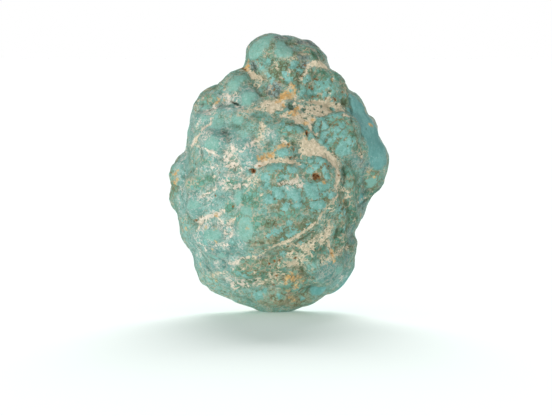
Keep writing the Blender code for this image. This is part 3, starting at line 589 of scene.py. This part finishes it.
def cobbles(points, size, seed):
    """Splits space into cells: each point's distance in mm from its cell's edge, and the cell's random tone."""
    scaled = points / size
    base = np.floor(scaled)
    nearest = np.full(len(points), np.inf)
    second = np.full(len(points), np.inf)
    tone = np.zeros(len(points))
    for offset in np.ndindex(3, 3, 3):
        cell = base + np.array(offset) - 1
        middle = cell + np.stack([hashed(cell, seed + axis) for axis in range(3)], axis=1)
        gap = np.linalg.norm(scaled - middle, axis=1)
        closer = gap < nearest
        second = np.where(closer, nearest, np.minimum(second, gap))
        tone = np.where(closer, hashed(cell, seed + 5), tone)
        nearest = np.minimum(nearest, gap)
    return (second - nearest) * size / 2, tone


def eased(value, low, high):
    """0 below low and 1 above high, with a soft step between them."""
    part = np.clip((value - low) / (high - low), 0, 1)
    return part * part * (3 - 2 * part)


# ---------------------------------------------------------------- the stone's mesh

def fine_stone(source):
    """A fine, even, softly rounded copy of the CAD solid."""
    stone = bpy.data.objects.new("nugget", source.data.copy())
    bpy.context.scene.collection.objects.link(stone)
    weld = stone.modifiers.new("weld", "WELD")
    weld.merge_threshold = WELD_REACH * MM
    remesh = stone.modifiers.new("even", "REMESH")
    remesh.mode = "VOXEL"
    remesh.voxel_size = VOXEL * MM
    smooth = stone.modifiers.new("soften", "SMOOTH")
    smooth.factor = 0.5
    smooth.iterations = SOFTENING_ROUNDS
    shaped = stone.evaluated_get(bpy.context.evaluated_depsgraph_get())
    mesh = bpy.data.meshes.new_from_object(shaped)
    stone.modifiers.clear()
    stone.data = mesh
    mesh.materials.clear()
    mesh.shade_smooth()
    return stone


def read_vertices(mesh, field):
    """A vertex field of a mesh as an array with one row a vertex."""
    values = np.empty(len(mesh.vertices) * 3)
    mesh.vertices.foreach_get(field, values)
    return values.reshape(-1, 3)


def read_edges(mesh):
    """A mesh's edges as an array of pairs of vertices."""
    pairs = np.empty(len(mesh.edges) * 2, dtype=np.int32)
    mesh.edges.foreach_get("vertices", pairs)
    return pairs.reshape(-1, 2)


def neighbour_mean(values, pairs):
    """For each vertex, the mean of its neighbours' values."""
    count = np.bincount(pairs.ravel(), minlength=len(values))[:, None]
    total = np.zeros_like(values)
    for axis in range(values.shape[1]):
        for here, there in ((0, 1), (1, 0)):
            total[:, axis] += np.bincount(pairs[:, here], values[pairs[:, there], axis], len(values))
    return total / np.maximum(count, 1)


def hollowness(points, normals, pairs, rounds):
    """How far in mm each vertex lies below the softened surface: hollows are above 0, ridges below."""
    softened = points
    for _ in range(rounds):
        softened = neighbour_mean(softened, pairs)
    return ((softened - points) * normals).sum(axis=1)


class Surface:
    """The stone's surface before the relief, on which the tables' features are laid."""

    def __init__(self, points, normals, faces):
        self.points = points
        self.normals = normals
        self.tree = BVHTree.FromPolygons(points.tolist(), faces)
        self.eye = Vector(TARGET) + DISTANCE * view_axis()
        facing = ((np.array(self.eye) - points) * normals).sum(axis=1)
        self.hidden = np.flatnonzero(facing < -HIDDEN_LEAST * DISTANCE)

    def seen(self, x, z):
        """The place on the stone that the camera sees at (x, z), or the nearest place if it sees none there."""
        aim = Vector((x, 0, z))
        place = self.tree.ray_cast(self.eye, (aim - self.eye).normalized())[0]
        return place or self.tree.find_nearest(aim)[0]

    def laid(self, feature):
        """A feature's places carried to the stone, close enough to make a line: rows of x, y, z, radius."""
        rows = []
        for start, end in zip(feature, feature[1:] or feature):
            steps = max(1, math.ceil(math.dist(start[:2], end[:2]) / TRACE_STEP))
            for step in range(steps + 1):
                x, z, radius = (a + (b - a) * step / steps for a, b in zip(start, end))
                rows.append((*self.seen(x, z), radius))
        return np.array(rows)

    def wander(self, rng, width, steps):
        """A line that winds over the sides or the back, of changing width: rows of x, y, z, radius."""
        start = rng.choice(self.hidden)
        place = Vector(self.points[start])
        normal = Vector(self.normals[start])
        heading = Vector(rng.normal(size=3))
        rows = []
        for _ in range(steps):
            rows.append((*place, width / 2 * rng.uniform(*WANDER_WIDTHS)))
            heading = (heading - heading.dot(normal) * normal).normalized()
            heading = (heading + WANDER_TURN * Vector(rng.normal(size=3))).normalized()
            place, normal = self.tree.find_nearest(place + WANDER_STEP * heading)[:2]
            if normal.dot(self.eye - place) > 0:
                break
        return np.array(rows)

    def gap_to(self, features):
        """Distance in mm from each vertex to the nearest feature's edge: below 0 inside it, FAR at most."""
        gaps = np.full(len(self.points), FAR)
        for rows in features:
            reach = rows[:, 3].max() + FAR
            low = rows[:, :3].min(axis=0) - reach
            high = rows[:, :3].max(axis=0) + reach
            near = np.flatnonzero(((self.points > low) & (self.points < high)).all(axis=1))
            for start in range(0, len(near), BATCH):
                some = near[start:start + BATCH]
                away = np.linalg.norm(self.points[some, None] - rows[None, :, :3], axis=2) - rows[:, 3]
                gaps[some] = np.minimum(gaps[some], away.min(axis=1))
        return gaps


def lay_features(surface):
    """Distance in mm from each vertex to every kind of feature."""
    rng = np.random.default_rng(FEATURE_SEED)
    gaps = {}
    for kind, (front, hidden) in KINDS.items():
        rows = [surface.laid(feature) for feature in front]
        for count, width, steps in hidden:
            rows += [surface.wander(rng, width, steps) for _ in range(count)]
        gaps[kind] = surface.gap_to(rows)
    return gaps


def lay_ground(points):
    """The broken ground: edge distance and tone of its cells, small ones within larger ones."""
    bent = warped(points, reach=2.6, size=1.9, seed=11)
    large_edge, large_tone = cobbles(bent, size=2.4, seed=21)
    small_edge, small_tone = cobbles(bent, size=1.2, seed=22)
    pick = eased(noise(points, size=3.0, seed=23), 0.4, 0.6)
    return {
        "edge": large_edge * (1 - pick) + small_edge * pick,
        "tone": large_tone * (1 - pick) + small_tone * pick,
    }


def relief(points, gaps, ground):
    """Height in mm to add along the normal at each vertex."""
    smooth = np.maximum.reduce([eased(-gaps[kind], -0.4, 0.5) for kind in ("pale", "slab", "blue")])
    smooth = np.maximum(smooth, CREAM_SMOOTHNESS * eased(-gaps["cream"], -0.1, 0.5))
    webby = PLAIN_CELLS + (1 - PLAIN_CELLS) * eased(-gaps["webby"], -0.8, 0.6)
    lumps = cobbles(warped(points, reach=2.0, size=3.0, seed=61), size=4.6, seed=64)[0]
    forms = {
        "nodules": eased(lumps, 0.0, 1.5) - 0.55,
        "waves": layered(points, size=2.4, seed=51) - 0.5,
        "grains": layered(points, size=0.9, seed=52, layers=2) - 0.5,
        "cells": (eased(ground["edge"], 0.0, 0.45) - 0.5) * webby,
    }
    height = np.zeros(len(points))
    for name, form in forms.items():
        most, loss = RELIEF[name]
        height += most * form * (1 - loss * smooth)
    for kind, (rise, low, high) in STEPS.items():
        gap = gaps[kind]
        if kind in RAGGED:
            roughness, size, seed = RAGGED[kind]
            gap = gap + roughness * (layered(points, size, seed) - 0.5)
        height += rise * eased(-gap, low, high)
    return height


def swollen(points):
    """Height in mm of the wide swellings at each vertex."""
    height = np.zeros(len(points))
    for x, z, radius, rise in SWELLS:
        away = np.hypot(points[:, 0] - x, points[:, 2] - z)
        height += rise * np.exp(-(away / radius) ** 2)
    return height


def soften_foot(points, pairs, heights):
    """Smooths the stone near the floor. The heights are those before the relief."""
    share = FOOT_SHARE * (1 - eased(heights, *SOFT_BAND))
    softened = points.copy()
    for _ in range(FOOT_ROUNDS):
        softened += share * (neighbour_mean(softened, pairs) - softened)
    return softened


def round_foot(points):
    """Draws the rim of the flat foot in, so that the stone curves down onto the floor."""
    heights = points[:, 2:]
    middle = points[points[:, 2] < ON_FLOOR, :2].mean(axis=0)
    pull = RIM_PULL * (1 - eased(heights, *RIM_BAND))
    rounded = points.copy()
    rounded[:, :2] -= pull * (points[:, :2] - middle)
    return rounded


def keep_in_box(points, box):
    """Points held inside the CAD solid's box, with the foot flat on the floor."""
    low, high = (np.array(corner) / MM for corner in box)
    return np.clip(points, low, high)


def carve(stone, box):
    """Lays the features on the stone, shapes its relief, and stores what the material needs on its vertices."""
    mesh = stone.data
    points = read_vertices(mesh, "co") / MM
    normals = read_vertices(mesh, "normal")
    pairs = read_edges(mesh)
    gaps = lay_features(Surface(points, normals, [tuple(face.vertices) for face in mesh.polygons]))
    ground = lay_ground(points)
    height = relief(points, gaps, ground) + swollen(points)
    height *= eased(points[:, 2], *RELIEF_BAND)
    carved = soften_foot(points + height[:, None] * normals, pairs, points[:, 2:])
    carved = keep_in_box(round_foot(carved), box)
    mesh.vertices.foreach_set("co", (carved * MM).ravel())
    mesh.update()
    normals = read_vertices(mesh, "normal")
    # How deep each vertex lies in a hollow or a wide valley, for the painted shade in the material
    hollows = {
        "hollow": hollowness(carved, normals, pairs, HOLLOW_ROUNDS),
        "valley": hollowness(carved, normals, pairs, VALLEY_ROUNDS),
    }
    for name, values in {**gaps, **ground, **hollows}.items():
        layer = mesh.attributes.new(name, "FLOAT", "POINT")
        layer.data.foreach_set("value", values.astype(np.float32))


# ---------------------------------------------------------------- the stone's material

def paint(colour):
    """The stone's own colour that looks like this screen colour (red, green, blue) under the scene's light."""
    linear = []
    for value in colour:
        part = value / 255
        part = part / 12.92 if part <= 0.04045 else ((part + 0.055) / 1.055) ** 2.4
        linear.append(part / LIGHT_LEVEL)
    return (*linear, 1.0)


class Nodes:
    """Makes shader nodes in one node tree."""

    def __init__(self, tree):
        self.tree = tree

    def add(self, kind, inputs, **settings):
        """A new node's outputs. Each of its inputs is linked to a socket, or set to a number or a colour."""
        node = self.tree.nodes.new("ShaderNode" + kind)
        for name, value in settings.items():
            setattr(node, name, value)
        for name, value in inputs.items():
            self.put(node.inputs[name], value)
        return node.outputs

    def put(self, socket, value):
        """Links a socket to another one, or sets it."""
        if isinstance(value, bpy.types.NodeSocket):
            self.tree.links.new(value, socket)
        else:
            socket.default_value = value

    def math(self, operation, first, second, third=0.0):
        """One sum on shader values."""
        return self.add("Math", {0: first, 1: second, 2: third}, operation=operation)["Value"]

    def step(self, value, low, high, bottom=0.0, top=1.0):
        """A soft step: bottom where the value is under low, top where it is over high."""
        limits = {"From Min": low, "From Max": high, "To Min": bottom, "To Max": top}
        return self.add("MapRange", {"Value": value, **limits}, interpolation_type="SMOOTHSTEP")["Result"]


class Painter(Nodes):
    """Builds the stone's colour from the bottom layer up. Sizes are in mm."""

    def __init__(self, tree):
        super().__init__(tree)
        place = self.add("TexCoord", {})["Object"]
        turned = {"Vector": place, "Rotation": PATTERN_TURN}
        self.place = self.add("VectorRotate", turned, rotation_type="EULER_XYZ")["Vector"]
        self.patterns = 0
        self.colour = None
        bent = self.bent(PEBBLE)
        self.pebble_edge = self.cells(PEBBLE, bent, "DISTANCE_TO_EDGE")["Distance"]
        self.pebble_tone = self.cells(PEBBLE, bent, "F1")["Color"]

    def field(self, name):
        """A value stored on the vertices."""
        return self.add("Attribute", {}, attribute_name=name)["Fac"]

    def noise(self, size, detail=4, stretch=None):
        """Noise whose lumps are about size mm across, a new pattern each time."""
        self.patterns += 1
        place = self.place
        if stretch:
            place = self.add("Mapping", {"Vector": place, "Scale": stretch})["Vector"]
        inputs = {
            "Vector": place,
            "W": PATTERN_START + PATTERN_STEP * self.patterns,
            "Scale": 1 / (size * MM),
            "Detail": detail,
            "Roughness": NOISE_ROUGHNESS,
        }
        return self.add("TexNoise", inputs, noise_dimensions="4D")["Fac"]

    def patches(self, size, low, high, most=1.0, detail=4, least=0.0):
        """Patches about size mm across: least where the noise is under low, most where it is over high."""
        return self.step(self.noise(size, detail), low, high, least, most)

    def threads(self, size, width, share=1.0):
        """Thin winding lines, of this share: where a noise passes through its middle value."""
        away = self.math("ABSOLUTE", self.math("SUBTRACT", self.noise(size, 3), 0.5), 0.0)
        return self.math("MULTIPLY", self.step(away, 0.35 * width, width, 1.0, 0.0), share)

    def bent(self, size):
        """The place, moved about by noise that is about size mm across."""
        inputs = {"Vector": self.place, "Scale": 1 / (size * MM), "Detail": 3}
        wobble = self.add("TexNoise", inputs)["Color"]
        reach = (2 * CELL_BEND * size * MM,) * 3
        return self.add("VectorMath", {0: wobble, 1: reach, 2: self.place}, operation="MULTIPLY_ADD")["Vector"]

    def cells(self, size, place, feature):
        """Cells about size mm across: the outputs of their texture."""
        return self.add("TexVoronoi", {"Vector": place, "Scale": 1 / (size * MM)}, feature=feature)

    def inside(self, name, edge, roughness=0.0, size=1.0, grow=0.0):
        """1 within a feature and 0 outside it, with an uneven outline."""
        gap = self.field(name)
        if roughness:
            gap = self.math("MULTIPLY_ADD", self.noise(size, 3), roughness, gap)
        middle = grow + roughness / 2
        return self.step(gap, middle - edge, middle + edge, 1.0, 0.0)

    def mixed(self, base, *layers):
        """A colour with (share, colour) pairs laid over it in turn. Each is a socket or a screen colour."""
        colour = paint(base) if isinstance(base, tuple) else base
        for share, over in layers:
            over = paint(over) if isinstance(over, tuple) else over
            colour = self.add("Mix", {0: share, 6: colour, 7: over}, data_type="RGBA")[2]
        return colour

    def cover(self, share, colour):
        """Lays a colour over what is there."""
        self.colour = self.mixed(self.colour, (share, colour))

    def shade(self, share, tint):
        """Multiplies what is there by a tint."""
        inputs = {0: share, 6: self.colour, 7: (*tint, 1)}
        self.colour = self.add("Mix", inputs, data_type="RGBA", blend_type="MULTIPLY")[2]

    def lay(self, name, share, colour, edge, roughness, size, grow=0.0):
        """Lays a share of a colour over what is there, within a feature."""
        inside = self.inside(name, edge, roughness, size, grow)
        self.cover(self.math("MULTIPLY", inside, share), colour)


def paint_ground(brush):
    """Mottled turquoise ground, and milky areas with pinkish threads on it."""
    brush.colour = brush.mixed(
        (108, 152, 140),
        (brush.patches(5.5, 0.36, 0.64), (126, 170, 160)),
        (brush.patches(1.3, 0.46, 0.62, 0.7, 5), (136, 181, 170)),
        (brush.patches(0.8, 0.50, 0.60, 0.7, 5), (94, 136, 116)),
        (brush.threads(1.0, 0.035, 0.8), (104, 114, 86)),
        (brush.threads(1.1, 0.035, brush.patches(2.6, 0.42, 0.56, 0.9, 5, least=0.15)), (182, 172, 150)),
    )
    milky = brush.inside("milky", 1.0, 2.4, 2.4)
    milk = brush.mixed(
        (108, 152, 144),
        (brush.patches(1.6, 0.42, 0.60, 1.0, 5), (130, 174, 166)),
        (brush.patches(0.6, 0.50, 0.62, 0.7), (146, 185, 176)),
        (brush.patches(2.4, 0.50, 0.58, 0.6), (98, 145, 136)),
        (brush.threads(0.9, 0.035, 0.7), (94, 138, 128)),
        (brush.threads(1.2, 0.045, brush.patches(2.6, 0.44, 0.58, 0.95, 5, least=0.12)), (204, 199, 188)),
        (brush.patches(0.4, 0.58, 0.63, 0.7, 3), (206, 198, 190)),
    )
    brush.cover(brush.math("MULTIPLY", milky, 0.9), milk)


def mixture(brush, base, pale, dark):
    """What fills rough areas: pebbles of two tones, tan or dark lines between them, and dark grains."""
    pebbles = brush.mixed(base, (brush.step(brush.pebble_tone, 0.35, 0.65), pale),
                          (brush.patches(0.6, 0.50, 0.58, 0.5), pale))
    between = brush.mixed(dark, (brush.patches(1.8, 0.47, 0.55), (184, 172, 148)))
    return brush.mixed(pebbles, (brush.step(brush.pebble_edge, 0.05, 0.16, 0.85, 0.0), between),
                       (brush.patches(0.42, 0.56, 0.61, 0.7, 3), dark))


def paint_areas(brush, *names):
    """Wide areas whose ground is a mixture."""
    for name in names:
        base, pale, dark, share, edge, roughness, size = AREAS[name]
        brush.lay(name, share, mixture(brush, base, pale, dark), edge, roughness, size)


def paint_dusk(brush):
    """The dusky ground with its pinkish threads."""
    dusk = brush.mixed(
        (82, 128, 120),
        (brush.patches(1.1, 0.42, 0.58, 1.0, 5), (104, 148, 142)),
        (brush.patches(0.5, 0.53, 0.61, 0.7), (128, 160, 154)),
        (brush.threads(1.2, 0.04, 0.7), (174, 174, 162)),
    )
    brush.lay("dusk", 0.85, dusk, edge=0.6, roughness=2.4, size=1.2)


def paint_islands(brush):
    """Ground broken by green, brown and olive lines into islands, and the listed islands."""
    webby = brush.inside("webby", 0.5, 2.4, 1.4)
    between = mixture(brush, (94, 132, 108), (112, 156, 136), (114, 104, 70))
    rough = mixture(brush, (112, 128, 100), (120, 152, 132), (96, 94, 64))
    olive = brush.inside("olive", 0.6, 2.4, 1.0)
    brush.cover(brush.math("MULTIPLY", webby, 0.85), brush.mixed(between, (olive, rough)))
    edge = brush.math("MULTIPLY_ADD", brush.noise(0.5), 0.9, brush.field("edge"))
    core = brush.math("MULTIPLY", webby, brush.step(edge, 0.62, 0.76))
    tone = brush.field("tone")
    chosen = brush.math("MULTIPLY", brush.step(tone, 0.20, 0.55, 0.25, 0.95), brush.step(olive, 0, 1, 1.0, 0.4))
    island = brush.mixed((104, 151, 136), (brush.step(tone, 0.5, 1.0), (122, 168, 156)),
                         (brush.patches(0.8, 0.42, 0.62), (120, 169, 157)))
    brush.cover(brush.math("MULTIPLY", core, chosen), island)
    laid = brush.mixed(
        (112, 164, 154),
        (brush.patches(0.9, 0.40, 0.62), (134, 182, 175)),
        (brush.threads(0.8, 0.03, 0.5), (98, 144, 128)),
        (brush.patches(0.4, 0.58, 0.64, 0.6, 3), (166, 196, 186)),
    )
    brush.lay("islands", 1.0, laid, edge=0.10, roughness=2.8, size=0.55, grow=0.26)


def paint_smooth(brush):
    """The slab with its faint streaks, the deeper blue patches, and the smooth pale lobes."""
    streaks = brush.step(brush.noise(1.2, 5, STREAKS), 0.38, 0.66)
    slab = brush.mixed((100, 152, 148), (streaks, (119, 170, 165)),
                       (brush.patches(0.4, 0.60, 0.66, 0.6, 3), (160, 188, 178)))
    brush.lay("slab", 1.0, slab, edge=0.3, roughness=1.2, size=1.2)
    blue = brush.mixed((98, 156, 150), (streaks, (120, 176, 172)))
    brush.lay("blue", 1.0, blue, edge=0.4, roughness=1.4, size=1.2)
    pale = brush.mixed(
        (118, 168, 154),
        (brush.patches(1.2, 0.38, 0.62), (136, 183, 171)),
        (brush.threads(1.0, 0.03, 0.45), (100, 148, 132)),
        (brush.patches(0.4, 0.58, 0.64, 0.5, 3), (180, 204, 194)),
    )
    brush.lay("pale", 0.8, pale, edge=0.3, roughness=2.4, size=1.3)


def paint_cream(brush):
    """Cream lace, cream between small nodules, and cream veins with dull dots. Returns where the veins are."""
    milky = brush.inside("milky", 1.5)
    light = brush.mixed((222, 207, 180), (milky, (226, 214, 198)))
    dull = brush.mixed((196, 182, 156), (milky, (206, 195, 180)))
    cream = brush.mixed(dull, (brush.patches(0.7, 0.42, 0.60), light))
    lace = brush.math("MAXIMUM", brush.threads(0.9, 0.04), brush.patches(0.5, 0.57, 0.63))
    brush.lay("lace", lace, cream, edge=0.8, roughness=2.0, size=1.4)
    chalky = brush.inside("chalk", 0.5, 2.4, 1.2)
    nodule = brush.mixed((84, 117, 92), (brush.patches(0.9, 0.44, 0.56, 1.0, 3), (106, 152, 136)))
    brush.cover(brush.math("MULTIPLY", chalky, 0.7), nodule)
    cell_edge = brush.cells(CHALK_CELL, brush.bent(CHALK_CELL), "DISTANCE_TO_EDGE")["Distance"]
    gaps = brush.step(cell_edge, 0.06, 0.13, 1.0, 0.0)
    gaps = brush.math("MULTIPLY", gaps, brush.patches(2.0, 0.45, 0.53, 1.0, 3))
    gaps = brush.math("MAXIMUM", gaps, brush.patches(0.7, 0.58, 0.62))
    brush.cover(brush.math("MULTIPLY", chalky, gaps), cream)
    vein = brush.inside("cream", 0.14, 2.4, 0.50, 0.02)
    brush.cover(vein, cream)
    brush.cover(brush.math("MULTIPLY", vein, brush.patches(0.55, 0.56, 0.63, 0.75)), (136, 146, 124))
    return vein


def paint_marks(brush):
    """Ochre stains, painted shade along the creases, brown lines, dark nodules, rust spots, and painted shade
    in the open crack.
    """
    ochre = brush.mixed((196, 150, 90), (brush.patches(0.8, 0.42, 0.60), (220, 186, 134)))
    patchy = brush.patches(0.5, 0.38, 0.50, 0.95, 3, least=0.35)
    brush.lay("ochre", patchy, ochre, edge=0.3, roughness=2.2, size=0.5, grow=0.10)
    # Painted shade: a dark colour laid along the sunk creases between lobes
    brush.lay("creases", 0.4, (88, 98, 74), edge=0.3, roughness=2.4, size=0.7)
    brush.lay("brown", 0.8, (124, 114, 80), edge=0.10, roughness=1.2, size=0.5)
    nodule = brush.mixed((78, 98, 82), (brush.patches(0.5, 0.44, 0.56, 1.0, 3), (104, 134, 118)))
    brush.lay("dark", 1.0, nodule, edge=0.14, roughness=1.4, size=0.4)
    brush.lay("rust", 1.0, (148, 108, 68), edge=0.12, roughness=1.2, size=0.4, grow=0.08)
    brush.lay("rust", 1.0, (84, 46, 22), edge=0.12, roughness=0.9, size=0.4, grow=-0.16)
    # Painted shade: the open crack is filled with near-black
    brush.cover(brush.inside("crack", 0.10, grow=0.03), (16, 22, 18))


def paint_shade(brush, creamy):
    """Dark grains, painted shade that darkens the hollows, less of it in the cream, and painted shade in the
    wide valleys.
    """
    brush.shade(brush.patches(0.28, 0.35, 0.50, 0.0, 2, least=0.5), (0.78, 0.80, 0.78))
    # Painted shade: the colour is darkened where the surface lies in a hollow
    hollow_shade = brush.step(brush.field("hollow"), 0.0, 0.10)
    brush.shade(brush.math("MULTIPLY", hollow_shade, brush.step(creamy, 0, 1, 0.8, 0.3)), (0.56, 0.55, 0.49))
    # Painted shade: the colour is darkened in the wide valleys between forms
    brush.shade(brush.step(brush.field("valley"), 0.15, 1.1, 0.0, 0.18), (0.70, 0.70, 0.64))


def set_looks(material, looks):
    """Sets a material's shader, and links what is given as a socket."""
    tree = material.node_tree
    for name, value in looks.items():
        Nodes(tree).put(tree.nodes["Principled BSDF"].inputs[name], value)


def paint_stone():
    """The stone's whole material."""
    material = bpy.data.materials.new("turquoise_stone")
    material.use_nodes = True
    brush = Painter(material.node_tree)
    paint_ground(brush)
    paint_areas(brush, "green", "olive", "tan", "grey")
    paint_dusk(brush)
    paint_areas(brush, "deep")
    paint_islands(brush)
    paint_smooth(brush)
    creamy = paint_cream(brush)
    paint_marks(brush)
    paint_shade(brush, creamy)
    bump = brush.add("Bump", {"Height": brush.noise(0.3, 3), "Strength": 0.35, "Distance": 0.05 * MM})
    set_looks(material, {
        "Base Color": brush.colour,
        "Normal": bump["Normal"],
        "Roughness": 0.75,
        "Specular IOR Level": 0.15,
    })
    return material


# ---------------------------------------------------------------- floor, light, camera

def make_floor():
    """A wide pale floor."""
    half = FLOOR_WIDTH / 2
    mesh = bpy.data.meshes.new("floor")
    rim = [(-half, -half, 0), (half, -half, 0), (half, half, 0), (-half, half, 0)]
    mesh.from_pydata(rim, [], [(0, 1, 2, 3)])
    floor = bpy.data.objects.new("floor", mesh)
    bpy.context.scene.collection.objects.link(floor)
    material = bpy.data.materials.new("pale_floor")
    material.use_nodes = True
    set_looks(material, {"Base Color": (*FLOOR_COLOUR, 1), "Roughness": 1.0, "Specular IOR Level": 0.0})
    mesh.materials.append(material)
    return floor


def group(name, member):
    """A collection of one object, for lights to look up."""
    holder = bpy.data.collections.new(name)
    holder.objects.link(member)
    return holder


def make_sun(name, towards, strength, spread, lit, shaded_by, colour=(1, 1, 1)):
    """A soft sun that lights one group alone, and that one group alone blocks."""
    light = bpy.data.lights.new(name, "SUN")
    light.energy = strength
    light.color = colour
    light.angle = math.radians(spread)
    sun = bpy.data.objects.new(name, light)
    sun.rotation_euler = Vector(towards).to_track_quat("-Z", "Y").to_euler()
    bpy.context.scene.collection.objects.link(sun)
    sun.light_linking.receiver_collection = lit
    sun.light_linking.blocker_collection = shaded_by


def make_world():
    """White light from all round, weaker from overhead than from the horizon."""
    world = bpy.data.worlds.new("studio")
    world.use_nodes = True
    nodes = Nodes(world.node_tree)
    direction = nodes.add("TexCoord", {})["Generated"]
    height = nodes.add("SeparateXYZ", {"Vector": direction})["Z"]
    background = world.node_tree.nodes["Background"]
    background.inputs["Color"].default_value = (1, 1, 1, 1)
    nodes.put(background.inputs["Strength"], nodes.step(height, *HORIZON_BAND, HORIZON_LEVEL, OVERHEAD_LEVEL))
    bpy.context.scene.world = world


def make_camera():
    """The camera at the photo's viewing angle."""
    data = bpy.data.cameras.new("camera")
    data.sensor_width = SENSOR
    data.lens = SENSOR * DISTANCE / PICTURE_WIDTH
    camera = bpy.data.objects.new("camera", data)
    camera.location = (Vector(TARGET) + DISTANCE * view_axis()) * MM
    camera.rotation_euler = (-view_axis()).to_track_quat("-Z", "Y").to_euler()
    bpy.context.scene.collection.objects.link(camera)
    bpy.context.scene.camera = camera


bpy.context.scene.view_settings.view_transform = "Standard"
nugget = fine_stone(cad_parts[CAD_NODE])
carve(nugget, cad_box)
nugget.data.materials.append(paint_stone())
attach(nugget, "root")
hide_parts(CAD_NODE)
floor = make_floor()
groups = {"stone": group("stone_alone", nugget), "floor": group("floor_alone", floor)}
for sun_name, sun in SUNS.items():
    make_sun(sun_name, **{**sun, "lit": groups[sun["lit"]], "shaded_by": groups[sun["shaded_by"]]})
make_world()
make_camera()
